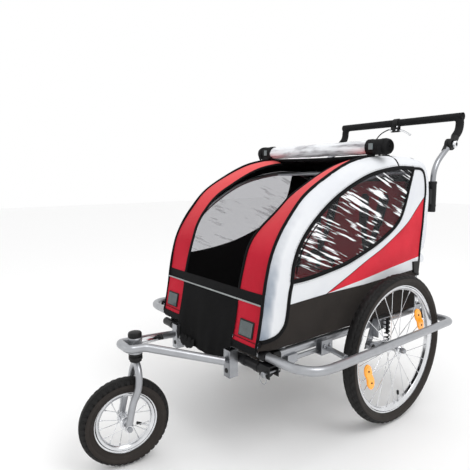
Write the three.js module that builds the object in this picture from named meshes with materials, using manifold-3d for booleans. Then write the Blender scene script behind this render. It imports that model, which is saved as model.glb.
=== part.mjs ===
// Child bicycle trailer in its stroller set-up: swivelling front wheel and push handle fitted.
// Millimetres, +Z up. The front points along -Y and the trailer's left side along +X.
// Lengths along Y are measured from the rear axle; the whole model is then moved so that
// its origin lies on the ground under the middle of its bounding box.

import * as THREE from 'three';
import { mergeVertices } from 'three/addons/utils/BufferGeometryUtils.js';
import Module from 'manifold-3d';

const wasm = await Module();
wasm.setup();

// ---- Driving dimensions ----
const AXLE_BEHIND_ORIGIN = 222.85;  // rear axle behind the middle of the bounding box
const GAP = 0.3;                    // clearance kept between touching pieces

const REAR_WHEEL_R = 250;           // 20 inch
const REAR_RIM_R = 212;
const REAR_TYRE_HALF = 22.5;
const REAR_WHEEL_X = 330;
const FRONT_WHEEL_R = 128;          // 10 inch
const FRONT_RIM_R = 88;
const FRONT_TYRE_HALF = 25;
const RIM_DEPTH = 13;

const FRAME_TUBE_R = 12.5;
const RAIL_X = 270;
const RAIL_Z = 329;
const RAIL_FRONT_Y = -469.7;
const RAIL_REAR_Y = 267.7;

const CABIN_HALF = 250;             // half width of the front, roof and back fabric
const FABRIC = 4;
const SIDE_BULGE = 33;              // how far a side panel stands out beyond CABIN_HALF
const SIDE_MIDDLE = { y: -110, z: 600 };
const REAR_ROUNDING = 0.3;          // the rear border is rounded this much as strongly as the front one
const BAND_INNER_X = 160;
const FLOOR_Z = 345;

const STEER_Y = -771;
const STEER_TURN = THREE.MathUtils.degToRad(10.6);
const FORK_RAKE = 36;
const FORK_HALF = 41;
const FORK_TUBE_R = 10;
const CROWN_Z = 295;
const HEAD_LOW_Z = 323;
const HEAD_TOP_Z = 370;
const HEAD_R = 20;

const ARM_PIVOT = { y: -85, z: 268 };
const ARM_INNER_X = 288.2;
const ARM_OUTER_X = 302;
const SPRING_X = 297;
const SPRING_Y = 5;
const SPRING_R = 7.5;

const HANDLE_X = 275;
const HANDLE_PIVOT = { y: 400, z: 935 };
const GRIP_Y = 468;
const GRIP_Z = 1043;
const GRIP_TUBE_R = 9;
const FOAM_R = 15;

// Cabin outline seen from the side, as [y, z], from the bottom of the front round to the bottom of the back.
const FRONT_EDGE = [[-537, 346], [-527, 388], [-517, 440], [-509, 494]];
const BAND_EDGE = [[-509, 497], [-498, 548], [-482, 602], [-455, 654], [-415, 706], [-355, 765], [-263, 817],
  [-170, 857], [-90, 876], [-36, 882]];
const ROOF_EDGE = [[-33, 882], [60, 884], [150, 883], [205, 873], [240, 846]];
const BACK_EDGE = [[243, 842], [258, 795], [264, 732], [258, 625], [248, 562], [186, 532], [184, 346]];
const WINDOW_HOOP = [[-450, 342.4], [-458, 440], [-440, 536], [-415, 612], [-352, 690], [-238, 762],
  [-130, 803], [20, 828], [140, 826], [219, 804]];

// ---- Colours ----
const SILVER = { color: 0xaaacaf, roughness: 0.38, metalness: 0.85 };
const STEEL = { color: 0x8f9396, roughness: 0.4, metalness: 0.9 };
const BLACK_PAINT = { color: 0x0d0d10, roughness: 0.4, metalness: 0.1 };
const BLACK_PLASTIC = { color: 0x0c0c0e, roughness: 0.5, metalness: 0 };
const RUBBER = { color: 0x231f1d, roughness: 0.85, metalness: 0 };
const RED_CLOTH = { color: 0xc81c32, roughness: 0.85, metalness: 0 };
const WHITE_CLOTH = { color: 0xe8eaee, roughness: 0.8, metalness: 0 };
const BLACK_CLOTH = { color: 0x0a0a0c, roughness: 0.9, metalness: 0 };
const FOAM = { color: 0x08080a, roughness: 0.95, metalness: 0 };
const CLEAR_VINYL = { color: 0xd5d9de, roughness: 0.2, metalness: 0 };

const trailer = new THREE.Group();
trailer.position.set(0, AXLE_BEHIND_ORIGIN, 0);

// ---- Helpers ----
const V = (x, y, z) => new THREE.Vector3(x, y, z);
const SIDES = [['left', 1], ['right', -1]];

function put(name, geometry, look, parent = trailer) {
  const mesh = new THREE.Mesh(geometry, new THREE.MeshStandardMaterial(look));
  mesh.name = name;
  parent.add(mesh);
  return mesh;
}

function solid(geometry) {
  const bare = geometry.clone();
  for (const key of Object.keys(bare.attributes)) {
    if (key !== 'position') bare.deleteAttribute(key);
  }
  const merged = mergeVertices(bare, 1e-4);
  return new wasm.Manifold(new wasm.Mesh({
    numProp: 3,
    vertProperties: new Float32Array(merged.attributes.position.array),
    triVerts: new Uint32Array(merged.index.array),
  }));
}

function shell(manifold) {
  const made = manifold.getMesh();
  const geometry = new THREE.BufferGeometry();
  geometry.setAttribute('position', new THREE.BufferAttribute(made.vertProperties, 3));
  geometry.setIndex(new THREE.BufferAttribute(made.triVerts, 1));
  return geometry;
}

function join(...geometries) {
  return shell(geometries.map(solid).reduce((all, next) => all.add(next)));
}

function cut(geometry, ...tools) {
  return shell(tools.map(solid).reduce((rest, tool) => rest.subtract(tool), solid(geometry)));
}

// The same shape on the other side of the middle plane.
function mirrored(geometry) {
  const flipped = geometry.clone().scale(-1, 1, 1);
  const old = flipped.index ? flipped.index.array : flipped.attributes.position.array.map((_, i) => i);
  const count = flipped.index ? old.length : flipped.attributes.position.count;
  const index = [];
  for (let i = 0; i < count; i += 3) index.push(old[i], old[i + 2], old[i + 1]);
  flipped.setIndex(index);
  return flipped;
}

function box(x0, x1, y0, y1, z0, z1) {
  const geometry = new THREE.BoxGeometry(x1 - x0, y1 - y0, z1 - z0);
  return geometry.translate((x0 + x1) / 2, (y0 + y1) / 2, (z0 + z1) / 2);
}

// A round bar between two points.
function bar(from, to, radius, sides = 12) {
  const way = to.clone().sub(from);
  const geometry = new THREE.CylinderGeometry(radius, radius, way.length(), sides);
  geometry.applyQuaternion(new THREE.Quaternion().setFromUnitVectors(V(0, 1, 0), way.normalize()));
  return geometry.translate(...from.clone().add(to).multiplyScalar(0.5).toArray());
}

// A path of straight runs whose corners are rounded to the given radius.
function bentPath(points, radius) {
  const path = new THREE.CurvePath();
  let start = points[0];
  for (let i = 1; i < points.length - 1; i += 1) {
    const back = points[i - 1].clone().sub(points[i]);
    const ahead = points[i + 1].clone().sub(points[i]);
    const reach = Math.min(radius, back.length() * 0.49, ahead.length() * 0.49);
    const into = points[i].clone().add(back.setLength(reach));
    const out = points[i].clone().add(ahead.setLength(reach));
    path.add(new THREE.LineCurve3(start, into));
    path.add(new THREE.QuadraticBezierCurve3(into, points[i], out));
    start = out;
  }
  path.add(new THREE.LineCurve3(start, points[points.length - 1]));
  return path;
}

function roundSection(radius, sides, holeRadius = 0) {
  const ring = (r) => Array.from({ length: sides }, (_, i) => {
    const angle = (i * 2 * Math.PI) / sides;
    return new THREE.Vector2(r * Math.cos(angle), r * Math.sin(angle));
  });
  const section = new THREE.Shape(ring(radius));
  if (holeRadius) section.holes.push(new THREE.Path(ring(holeRadius)));
  return section;
}

function tube(path, radius, { sides = 10, steps = 24, hole = 0 } = {}) {
  return new THREE.ExtrudeGeometry(roundSection(radius, sides, hole), { extrudePath: path, steps });
}

// A left piece as it is, or its mirror image for the right side.
function place(name, [side, sign], geometry, look, parent = trailer) {
  return put(`${name}_${side}`, sign > 0 ? geometry : mirrored(geometry), look, parent);
}

const smooth = (points) => new THREE.CatmullRomCurve3(points, false, 'centripetal');

// A plate of [y, z] outline between two places along X.
function plateX(outline, x0, x1, options = {}) {
  const shape = new THREE.Shape(outline.map(([y, z]) => new THREE.Vector2(y, z)));
  const geometry = new THREE.ExtrudeGeometry(shape, { depth: x1 - x0, bevelEnabled: false, ...options });
  geometry.applyMatrix4(new THREE.Matrix4().makeBasis(V(0, 1, 0), V(0, 0, 1), V(1, 0, 0)));
  return geometry.translate(x0, 0, 0);
}

// A profile revolved about the X axis, given as [radius, x].
function turnedX(profile, segments) {
  const points = profile.map(([r, x]) => new THREE.Vector2(r, x));
  return new THREE.LatheGeometry(points, segments).rotateZ(-Math.PI / 2);
}

function turnedZ(profile, segments) {
  const points = profile.map(([r, z]) => new THREE.Vector2(r, z));
  return new THREE.LatheGeometry(points, segments).rotateX(Math.PI / 2);
}

// A closed sheet that follows an edge of [y, z] points, with its thickness inside the edge.
function sheet(edge, x0, x1) {
  const inner = edge.map((point, i) => {
    const before = edge[Math.max(i - 1, 0)];
    const after = edge[Math.min(i + 1, edge.length - 1)];
    const length = Math.hypot(after[0] - before[0], after[1] - before[1]);
    const normal = [(after[1] - before[1]) / length, -(after[0] - before[0]) / length];
    return [point[0] + normal[0] * FABRIC, point[1] + normal[1] * FABRIC];
  });
  return plateX([...edge, ...inner.reverse()].reverse(), x0, x1);
}

// ---- Base frame ----
const CROSSBAR = { y: -514, z: 293, r: 14, half: 286 };
const BUMPER_Z = 331;
const REAR_CORNER = { y0: 268, y1: 302, x0: 252, x1: 299.7, z0: 284, z1: 343 };

const crossTube = (y, z, half, radius) => bar(V(-half, y, z), V(half, y, z), radius, 14);

// Rail with what is welded to it: front hanger, lower link, folded mid bracket and bumper strut.
function sideRailGeometry() {
  const rail = bar(V(RAIL_X, RAIL_FRONT_Y, RAIL_Z), V(RAIL_X, RAIL_REAR_Y, RAIL_Z), FRAME_TUBE_R, 16);
  const hanger = plateX([[-452, 324], [-452, 306], [-432, 296], [-414, 300], [-414, 324]], 262, 290);
  const link = bar(V(279, -420, 307), V(279, -325, 307), 7, 10);
  const bracketFloor = box(258, 308, -333, -287, 300, 322);
  const bracketSide = box(280, 308, -333, -287, 310, 344);
  const strut = bar(V(300, -300, 314), V(399.6, -337, 324), 8, 10);
  return join(rail, hanger, link, bracketFloor, bracketSide, strut);
}

function sideBumperGeometry() {
  const path = bentPath([
    V(237, -512, BUMPER_Z), V(432, -512, BUMPER_Z), V(377, 285, 298), V(300, 285, 298),
  ], 90);
  return tube(path, FRAME_TUBE_R, { sides: 8, steps: 30 });
}

// Front crossbar with its corner castings and the square sleeves that take the jogger arms.
function frontCrossbarGeometry() {
  const weld = box(236, 261.5, -503, RAIL_FRONT_Y - GAP, 279, 317);
  const corner = box(236, RAIL_X + FRAME_TUBE_R, -496.8, RAIL_FRONT_Y - GAP, 279, 343);
  const sleeve = cut(box(133, 163, -559, -527, 243, 324), box(135.5, 160.5, -556.5, -531.5, 230, 330));
  const tubes = crossTube(CROSSBAR.y, CROSSBAR.z, CROSSBAR.half, CROSSBAR.r);
  return join(tubes, ...[corner, weld, sleeve].flatMap((piece) => [piece, mirrored(piece)]));
}

function rearCrossbarGeometry() {
  const { x0, x1, y0, y1, z0, z1 } = REAR_CORNER;
  const corner = box(x0, x1, y0, y1, z0, z1);
  return join(crossTube(285, RAIL_Z, x0 + 5, 11), corner, mirrored(corner));
}

// Channel over the left end of the crossbar, where a tow bar slides in.
const TOW_PIN = { x: 293, z: 297, r: 3 };

function towReceiverGeometry() {
  const outline = [[-533, 282], [-530, 282], [-530, 313], [-499.5, 313], [-499.5, 282], [-497.3, 282],
    [-497.3, 316], [-533, 316]];
  const pinHole = bar(V(TOW_PIN.x, -540, TOW_PIN.z), V(TOW_PIN.x, -490, TOW_PIN.z), TOW_PIN.r + 0.4, 12);
  return cut(plateX(outline, 262, 302), pinHole);
}

function hitchPinGeometry() {
  const at = (y) => V(TOW_PIN.x, y, TOW_PIN.z);
  return join(bar(at(-545), at(-488), TOW_PIN.r, 10), bar(at(-549), at(-544), 8, 12));
}

for (const side of SIDES) {
  place('side_rail', side, sideRailGeometry(), SILVER);
  place('side_bumper', side, sideBumperGeometry(), SILVER);
}
put('front_crossbar', frontCrossbarGeometry(), BLACK_PAINT);
put('seat_crossbar', crossTube(-60, RAIL_Z, RAIL_X - FRAME_TUBE_R - GAP, 11), SILVER);
put('rear_crossbar', rearCrossbarGeometry(), SILVER);
put('tow_receiver', towReceiverGeometry(), BLACK_PAINT);
put('hitch_pin', hitchPinGeometry(), STEEL);

// ---- Suspension ----
// Folded bracket on the outside of the rail: it holds the arm's pivot bolt and the top of the spring.
function suspensionBracketGeometry() {
  const web = plateX([[-99, 256], [-71, 256], [-50, 300], [34, 310], [34, 354], [-60, 354]], 282.8, 286.8);
  const frontWall = box(282.8, 307, -60, -56, 292, 354);
  const topFlange = box(282.8, 307, -60, 34, 350, 354);
  const { y, z } = ARM_PIVOT;
  const bolt = bar(V(279, y, z), V(306, y, z), 5, 12);
  const boltHead = bar(V(302.4, y, z), V(306.5, y, z), 8, 6);
  const fabricRoom = box(270, CABIN_HALF + 35.4, -120, 60, FLOOR_Z + 0.4, 400);
  return join(cut(join(web, frontWall, topFlange), fabricRoom), bolt, boltHead);
}

function swingArmGeometry() {
  const outline = [[-96, 262], [-90, 257], [-20, 240], [-8, 236], [8, 236], [15, 243], [19, 255], [19, 266],
    [-12, 266], [-40, 270], [-76, 279], [-90, 279], [-97, 272]];
  const bores = [
    bar(V(280, ARM_PIVOT.y, ARM_PIVOT.z), V(310, ARM_PIVOT.y, ARM_PIVOT.z), 5.4, 12),
    bar(V(280, 0, REAR_WHEEL_R), V(310, 0, REAR_WHEEL_R), 6.5, 12),
  ];
  return cut(plateX(outline, ARM_INNER_X, ARM_OUTER_X), ...bores);
}

class Coil extends THREE.Curve {
  constructor(x, y, z0, z1, radius, turns) {
    super();
    Object.assign(this, { x, y, z0, z1, radius, turns });
  }

  getPoint(t) {
    const angle = t * this.turns * 2 * Math.PI;
    return V(this.x + this.radius * Math.cos(angle), this.y + this.radius * Math.sin(angle),
      THREE.MathUtils.lerp(this.z0, this.z1, t));
  }
}

function springGeometry() {
  return tube(new Coil(SPRING_X, SPRING_Y, 268.4, 347.6, SPRING_R, 5), 1.9, { sides: 4, steps: 35 });
}

function rearAxleGeometry() {
  const profile = [[0, 284], [9, 284], [9, 287.9], [6, 287.9], [6, 358], [9, 358], [9, 364], [6, 372],
    [0, 372]];
  return turnedX(profile, 12).translate(0, 0, REAR_WHEEL_R);
}

for (const side of SIDES) {
  place('suspension_bracket', side, suspensionBracketGeometry(), STEEL);
  place('swing_arm', side, swingArmGeometry(), STEEL);
  place('suspension_spring', side, springGeometry(), BLACK_PAINT);
  place('rear_axle', side, rearAxleGeometry(), STEEL);
}

// ---- Wheels, made about the X axis with their middle at x = 0 ----
function tyreGeometry(outer, inner, half, segments) {
  const middle = (outer + inner) / 2;
  const profile = [[inner + GAP, -half * 0.45], [middle, -half], [outer - 4, -half * 0.6], [outer, 0],
    [outer - 4, half * 0.6], [middle, half], [inner + GAP, half * 0.45]];
  return turnedX([...profile, profile[0]], segments);
}

function rimGeometry(outer, half, segments) {
  const profile = [[outer, -half], [outer, half], [outer - RIM_DEPTH, half * 0.5],
    [outer - RIM_DEPTH, -half * 0.5]];
  return turnedX([...profile, profile[0]], segments);
}

// Hub with its spokes, every second one of which starts at the other flange. They end at the radius reach.
function spokedHubGeometry({ halfHub, flange, flangeX, bore, spokes }, reach) {
  const barrel = [[bore, -halfHub], [flange, -flangeX - 2], [flange, -flangeX + 1], [11, -flangeX + 3],
    [11, flangeX - 3], [flange, flangeX - 1], [flange, flangeX + 2], [bore, halfHub]];
  const pieces = [turnedX([...barrel, barrel[0]], 12)];
  for (let i = 0; i < spokes; i += 1) {
    const end = (i * 2 * Math.PI) / spokes;
    const start = end + (i % 4 < 2 ? 0.5 : -0.5);
    const x = (i % 2 ? 1 : -1) * flangeX;
    const root = V(x, (flange - 3) * Math.cos(start), (flange - 3) * Math.sin(start));
    pieces.push(bar(root, V(x * 0.06, reach * Math.cos(end), reach * Math.sin(end)), 1.4, 3));
  }
  return join(...pieces);
}

const REAR_LACING = {
  halfRim: 13, segments: 32, halfHub: 26.5, flange: 22, flangeX: 20, bore: 6.5, spokes: 16,
};
const FRONT_LACING = {
  halfRim: 12, segments: 24, halfHub: 28, flange: 19, flangeX: 18, bore: 5.5, spokes: 12,
};
const REAR_SPOKE_REACH = (REAR_RIM_R - RIM_DEPTH) * Math.cos(Math.PI / REAR_LACING.segments) - 2 * GAP;

for (const [side, sign] of SIDES) {
  const wheel = new THREE.Group();
  wheel.position.set(sign * REAR_WHEEL_X, 0, REAR_WHEEL_R);
  trailer.add(wheel);
  const { segments, halfRim } = REAR_LACING;
  put(`rear_tyre_${side}`, tyreGeometry(REAR_WHEEL_R, REAR_RIM_R, REAR_TYRE_HALF, segments), RUBBER, wheel);
  put(`rear_rim_${side}`, rimGeometry(REAR_RIM_R, halfRim, segments), SILVER, wheel);
  put(`rear_hub_${side}`, spokedHubGeometry(REAR_LACING, REAR_SPOKE_REACH), SILVER, wheel);
}

// ---- Jogger arms and swivelling front wheel ----
function joggerArmGeometry() {
  const hug = HEAD_R + FRAME_TUBE_R + 1.5;
  const path = bentPath([
    V(146, -566, 292), V(hug + 1, STEER_Y + 14, 346), V(hug - 2, STEER_Y - hug, 350),
    V(GAP / 2, STEER_Y - hug, 350),
  ], 34);
  return tube(path, FRAME_TUBE_R - 0.5, { sides: 8, steps: 16 });
}

put('jogger_arm_left', joggerArmGeometry(), SILVER);
put('jogger_arm_right', mirrored(joggerArmGeometry()), SILVER);

// Head tube with the barrel of the swivel lock welded behind it.
const LOCK_Z = 352;

function steeringHeadGeometry() {
  const barrel = bar(V(0, STEER_Y + HEAD_R - 4, LOCK_Z), V(0, STEER_Y + 66, LOCK_Z), 9, 14);
  const outside = join(bar(V(0, STEER_Y, HEAD_LOW_Z), V(0, STEER_Y, HEAD_TOP_Z), HEAD_R, 20), barrel);
  const bore = bar(V(0, STEER_Y, HEAD_LOW_Z - 5), V(0, STEER_Y, HEAD_TOP_Z + 5), 11.5, 20);
  const lockBore = bar(V(0, STEER_Y, LOCK_Z), V(0, STEER_Y + 80, LOCK_Z), 4.6, 12);
  return cut(outside, bore, lockBore);
}

function lockPlungerGeometry() {
  const rod = bar(V(0, STEER_Y + 13, LOCK_Z), V(0, STEER_Y + 78, LOCK_Z), 4, 10);
  return join(rod, bar(V(0, STEER_Y + 72, LOCK_Z), V(0, STEER_Y + 86, LOCK_Z), 8, 12));
}

put('steering_head', steeringHeadGeometry(), SILVER);
put('lock_plunger', lockPlungerGeometry(), BLACK_PLASTIC);

const steering = new THREE.Group();
steering.position.set(0, STEER_Y, 0);
steering.rotation.z = -STEER_TURN;
trailer.add(steering);

function forkGeometry() {
  const foot = FRONT_WHEEL_R;
  const blade = smooth([
    V(-FORK_HALF - 3, -FORK_RAKE, foot - 12), V(-FORK_HALF - 2, -FORK_RAKE + 2, foot + 12),
    V(-FORK_HALF - 1, -FORK_RAKE + 14, foot + 65), V(-FORK_HALF, -6, CROWN_Z - 62),
    V(-FORK_HALF + 12, 0, CROWN_Z - 22), V(0, 0, CROWN_Z),
    V(FORK_HALF - 12, 0, CROWN_Z - 22), V(FORK_HALF, -6, CROWN_Z - 62),
    V(FORK_HALF + 1, -FORK_RAKE + 14, foot + 65), V(FORK_HALF + 2, -FORK_RAKE + 2, foot + 12),
    V(FORK_HALF + 3, -FORK_RAKE, foot - 12),
  ]);
  const steerer = bar(V(0, 0, CROWN_Z), V(0, 0, HEAD_TOP_Z + 9), 9, 14);
  const axleHole = bar(V(-70, -FORK_RAKE, foot), V(70, -FORK_RAKE, foot), 5.3, 12);
  const washer = bar(V(0, 0, CROWN_Z + 5), V(0, 0, HEAD_LOW_Z - GAP), 19, 20);
  return cut(join(tube(blade, FORK_TUBE_R, { sides: 8, steps: 22 }), steerer, washer), axleHole);
}

function steeringCapGeometry() {
  const profile = [[9.3, GAP], [19, GAP], [19.5, 9], [15, 15], [0, 16], [0, 9.4], [9.3, 9.4], [9.3, GAP]];
  return turnedZ(profile.map(([r, z]) => [r, HEAD_TOP_Z + z]), 20);
}

function frontAxleGeometry() {
  const half = FORK_HALF + 18;
  const neck = half - 4.4;
  const profile = [[0, -half], [8, -half], [8, -neck], [5, -neck], [5, neck], [8, neck], [8, half],
    [0, half]];
  return turnedX(profile, 12);
}

put('front_fork', forkGeometry(), SILVER, steering);
put('steering_cap', steeringCapGeometry(), BLACK_PLASTIC, steering);
const frontWheel = new THREE.Group();
frontWheel.position.set(0, -FORK_RAKE, FRONT_WHEEL_R);
steering.add(frontWheel);
put('front_axle', frontAxleGeometry(), STEEL, frontWheel);
put('front_tyre', tyreGeometry(FRONT_WHEEL_R, FRONT_RIM_R, FRONT_TYRE_HALF, FRONT_LACING.segments), RUBBER,
  frontWheel);
put('front_wheel', join(
  rimGeometry(FRONT_RIM_R, FRONT_LACING.halfRim, FRONT_LACING.segments),
  spokedHubGeometry(FRONT_LACING, FRONT_RIM_R - RIM_DEPTH + 3),
), SILVER, frontWheel);

// ---- Cabin frame ----
const POST_FOOT = V(265, 205, 342.4);
const POST_TOP = V(265, 224, 812);

// Hoop that carries the side window, the rear post that it meets, and the plastic collar on the post.
function cabinFrameGeometry() {
  const hoop = tube(smooth(WINDOW_HOOP.map(([y, z]) => V(266, y, z))), 8, { sides: 6, steps: 18 });
  const at = (t) => POST_FOOT.clone().lerp(POST_TOP, t);
  return join(hoop, bar(POST_FOOT, POST_TOP, 11, 12), bar(at(0.255), at(0.35), 15.5, 12));
}

for (const side of SIDES) place('cabin_frame', side, cabinFrameGeometry(), SILVER);
put('roof_spreader', crossTube(20, 828, 266 - 8 - GAP, 8), SILVER);

// ---- Cabin fabric ----
// A side panel bulges outward: its outline shrinks about SIDE_MIDDLE from the seam out to its flat middle.
function sidePanelGeometry() {
  const outline = [...FRONT_EDGE, ...BAND_EDGE.slice(1), ...ROOF_EDGE.slice(1), ...BACK_EDGE.slice(1)];
  const domed = (seamX, flatX, shrink) => {
    const geometry = plateX(outline, 0, 2, { steps: 2 });
    const corners = geometry.attributes.position;
    const scales = [1, 0.965, 0.89];
    const xs = [seamX, THREE.MathUtils.lerp(seamX, flatX, 0.72), flatX];
    for (let i = 0; i < corners.count; i += 1) {
      const level = Math.round(corners.getX(i));
      const dy = corners.getY(i) - SIDE_MIDDLE.y;
      const dz = corners.getZ(i) - SIDE_MIDDLE.z;
      const scale = scales[level];
      const scaleY = (dy > 0 ? 1 - (1 - scale) * REAR_ROUNDING : scale) * shrink;
      const scaleZ = (dz > 0 ? scale : 1) * shrink;
      corners.setXYZ(i, xs[level], SIDE_MIDDLE.y + dy * scaleY, SIDE_MIDDLE.z + dz * scaleZ);
    }
    return geometry;
  };
  const seam = CABIN_HALF + 1;
  const hoopHole = box(255, 277, -464, -438, 300, 356);
  const postHole = box(252, 280.9, 188, 240, 500, 575);
  const outside = domed(seam, CABIN_HALF + SIDE_BULGE + 2, 1);
  return cut(outside, domed(seam - 1, CABIN_HALF + SIDE_BULGE - 2, 0.987), hoopHole, postHole);
}

put('front_panel', sheet(FRONT_EDGE, -CABIN_HALF, CABIN_HALF), BLACK_CLOTH);
put('roof_panel', sheet(ROOF_EDGE, -CABIN_HALF, CABIN_HALF), WHITE_CLOTH);
put('back_panel', sheet(BACK_EDGE, -CABIN_HALF, CABIN_HALF), BLACK_CLOTH);
put('floor_panel', box(-CABIN_HALF, CABIN_HALF, -500, 176, FLOOR_Z, FLOOR_Z + FABRIC), BLACK_CLOTH);
for (const side of SIDES) {
  place('front_band', side, sheet(BAND_EDGE, BAND_INNER_X, CABIN_HALF), RED_CLOTH);
  place('side_panel', side, sidePanelGeometry(), WHITE_CLOTH);
}

function rolledCoverGeometry() {
  const end = 309;
  const profile = [[0, -end], [20, -end], [25, -end + 8], [25, -236], [21.5, -222], [21.5, 222], [25, 236],
    [25, end - 8], [20, end], [0, end]];
  return turnedX(profile, 16).translate(0, -33, 911);
}
put('rolled_cover', rolledCoverGeometry(), CLEAR_VINYL);

// ---- Seat ----
const SEAT_HALF = 232;
const SEAT_OUTLINE = [[-150, 400], [-140, 392], [150, 392], [150, 420], [-135, 432], [-150, 424]];
const BACK_FOOT = { y: 118, z: 424 };
const BACK_HEAD = { y: 184, z: 806 };
const HARNESS_X = 115;

function seatBackGeometry() {
  const outline = [[BACK_FOOT.y, BACK_FOOT.z], [146, 424], [204, 800], [BACK_HEAD.y, BACK_HEAD.z]];
  return plateX(outline, -SEAT_HALF, SEAT_HALF);
}

// Two shoulder straps that meet in a lap strap, lying on the seat back.
function harnessGeometry() {
  const outline = [[-57, 330], [-14, 130], [-14, 15], [14, 15], [14, 130], [57, 330], [33, 330], [0, 175],
    [-33, 330]];
  const shape = new THREE.Shape(outline.map(([x, s]) => new THREE.Vector2(x, s)));
  const geometry = new THREE.ExtrudeGeometry(shape, { depth: 3, bevelEnabled: false });
  const up = V(0, BACK_HEAD.y - BACK_FOOT.y, BACK_HEAD.z - BACK_FOOT.z).normalize();
  const out = V(1, 0, 0).cross(up);
  geometry.applyMatrix4(new THREE.Matrix4().makeBasis(V(1, 0, 0), up, out));
  return geometry.translate(HARNESS_X, BACK_FOOT.y + out.y * 0.5, BACK_FOOT.z + out.z * 0.5);
}

put('seat_cushion', plateX(SEAT_OUTLINE, -SEAT_HALF, SEAT_HALF), RED_CLOTH);
put('seat_back', seatBackGeometry(), RED_CLOTH);
for (const side of SIDES) place('harness', side, harnessGeometry(), BLACK_CLOTH);

// ---- Push handle ----
const SLEEVE = { y: 291, z0: 686, z1: 798 };
const PIVOT_DISC_R = 22;
const pivotAt = (x) => V(x, HANDLE_PIVOT.y, HANDLE_PIVOT.z);

function handleSleeveGeometry() {
  const body = bar(V(HANDLE_X, SLEEVE.y, SLEEVE.z0), V(HANDLE_X, SLEEVE.y, SLEEVE.z1), 14, 16);
  const bore = bar(V(HANDLE_X, SLEEVE.y, SLEEVE.z0 + 8), V(HANDLE_X, SLEEVE.y, SLEEVE.z1 + 8), 10.7, 16);
  const lug = box(HANDLE_X - 8, HANDLE_X + 8, SLEEVE.y - 23, SLEEVE.y - 11, 715, 770);
  return cut(join(body, lug), bore);
}

// Curved tube that rises from the sleeve to the inner half of the tilting hinge.
function lowerTubeGeometry() {
  const bends = [[SLEEVE.y, SLEEVE.z0 + 12], [SLEEVE.y, 750], [SLEEVE.y, 800], [297, 835], [316, 867],
    [345, 893], [381, 919]];
  const path = smooth(bends.map(([y, z]) => V(HANDLE_X, y, z)));
  const disc = bar(pivotAt(262), pivotAt(274.7), PIVOT_DISC_R, 20);
  const neck = bar(pivotAt(268.5), V(269, 374, 915), 6, 10);
  const bore = bar(pivotAt(250), pivotAt(300), 5.4, 12);
  return cut(join(tube(path, 10, { sides: 8, steps: 10 }), disc, neck), bore);
}

function gripPath(start) {
  const half = [start, V(HANDLE_X, 465, 990), V(HANDLE_X, GRIP_Y, GRIP_Z)];
  return bentPath([...half, ...half.map((p) => V(-p.x, p.y, p.z)).reverse()], 48);
}

// Steel bar through the grip, with the outer half of the hinge at each end.
function handleBarGeometry() {
  const pieces = [tube(gripPath(V(HANDLE_X, 416, 951)), GRIP_TUBE_R, { sides: 8, steps: 40 })];
  for (const [, sign] of SIDES) {
    pieces.push(bar(pivotAt(sign * 275.3), pivotAt(sign * 287), PIVOT_DISC_R, 20));
    pieces.push(bar(pivotAt(sign * 281), V(sign * 280, 424, 957), 5.6, 10));
  }
  const bores = SIDES.map(([, sign]) => bar(pivotAt(sign * 250), pivotAt(sign * 300), 5.4, 12));
  return cut(join(...pieces), ...bores);
}

function foamGripGeometry() {
  return tube(gripPath(V(HANDLE_X, 427, 960)), FOAM_R, { sides: 8, steps: 36, hole: 11.5 });
}

function hingeButtonGeometry() {
  return join(bar(pivotAt(262), pivotAt(293), 5, 12), bar(pivotAt(292), pivotAt(301), 13, 16));
}

for (const side of SIDES) {
  place('handle_sleeve', side, handleSleeveGeometry(), BLACK_PLASTIC);
  place('handle_lower_tube', side, lowerTubeGeometry(), STEEL);
  place('hinge_button', side, hingeButtonGeometry(), SILVER);
}
put('handle_bar', handleBarGeometry(), BLACK_PAINT);
put('foam_grip', foamGripGeometry(), FOAM);

// ---- Parking brake lever and its cable ----
const LEVER_PIVOT = { x: 6, z: GRIP_Z - 30 };
const CABLE_R = 2.5;

// Rod along Y, centred on the grip, about the lever's pivot.
const leverRod = (half, radius, sides) => bar(V(LEVER_PIVOT.x, GRIP_Y - half, LEVER_PIVOT.z),
  V(LEVER_PIVOT.x, GRIP_Y + half, LEVER_PIVOT.z), radius, sides);

function brakeClampGeometry() {
  const ring = bar(V(-12, GRIP_Y, GRIP_Z), V(12, GRIP_Y, GRIP_Z), FOAM_R + 3.5, 20);
  const body = box(-24, 14, GRIP_Y - 9, GRIP_Y + 9, GRIP_Z - 38, GRIP_Z - 10);
  const bore = bar(V(-30, GRIP_Y, GRIP_Z), V(30, GRIP_Y, GRIP_Z), FOAM_R + 0.5, 20);
  const slot = box(-4, 20, GRIP_Y - 4.5, GRIP_Y + 4.5, GRIP_Z - 50, GRIP_Z - 21);
  return join(cut(join(ring, body), bore, slot), leverRod(8, 2.4, 10));
}

function brakeLeverGeometry() {
  const outline = [[0, -5], [12, -6], [38, -14], [58, -26], [64, -24], [43, -9], [14, 4], [0, 5]];
  const shape = new THREE.Shape(outline.map(([x, z]) => new THREE.Vector2(x, z)));
  const geometry = new THREE.ExtrudeGeometry(shape, { depth: 6, bevelEnabled: false });
  geometry.applyMatrix4(new THREE.Matrix4().makeBasis(V(1, 0, 0), V(0, 0, 1), V(0, -1, 0)));
  geometry.translate(LEVER_PIVOT.x, GRIP_Y + 3, LEVER_PIVOT.z);
  return cut(join(geometry, leverRod(3, 5.5, 12)), leverRod(9, 2.8, 10));
}

const UPPER_CABLE = [V(-24.4, GRIP_Y, 1018), V(-44, GRIP_Y - 3, 1016), V(-68, 446, 996), V(-76, 408, 952),
  V(-54, 352, 908), V(-12, 300, 884), V(24, 276, 862), V(38, 271, 836), V(40, 270, 800)];
const LOWER_CABLE = [V(40, 270, 799.6), V(40, 271, 700), V(40, 271, 560), V(44, 266, 430), V(62, 260, 352),
  V(110, 256, 320), V(180, 254, 312), V(230, 252, 316), V(257, 252, 322)];

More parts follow.
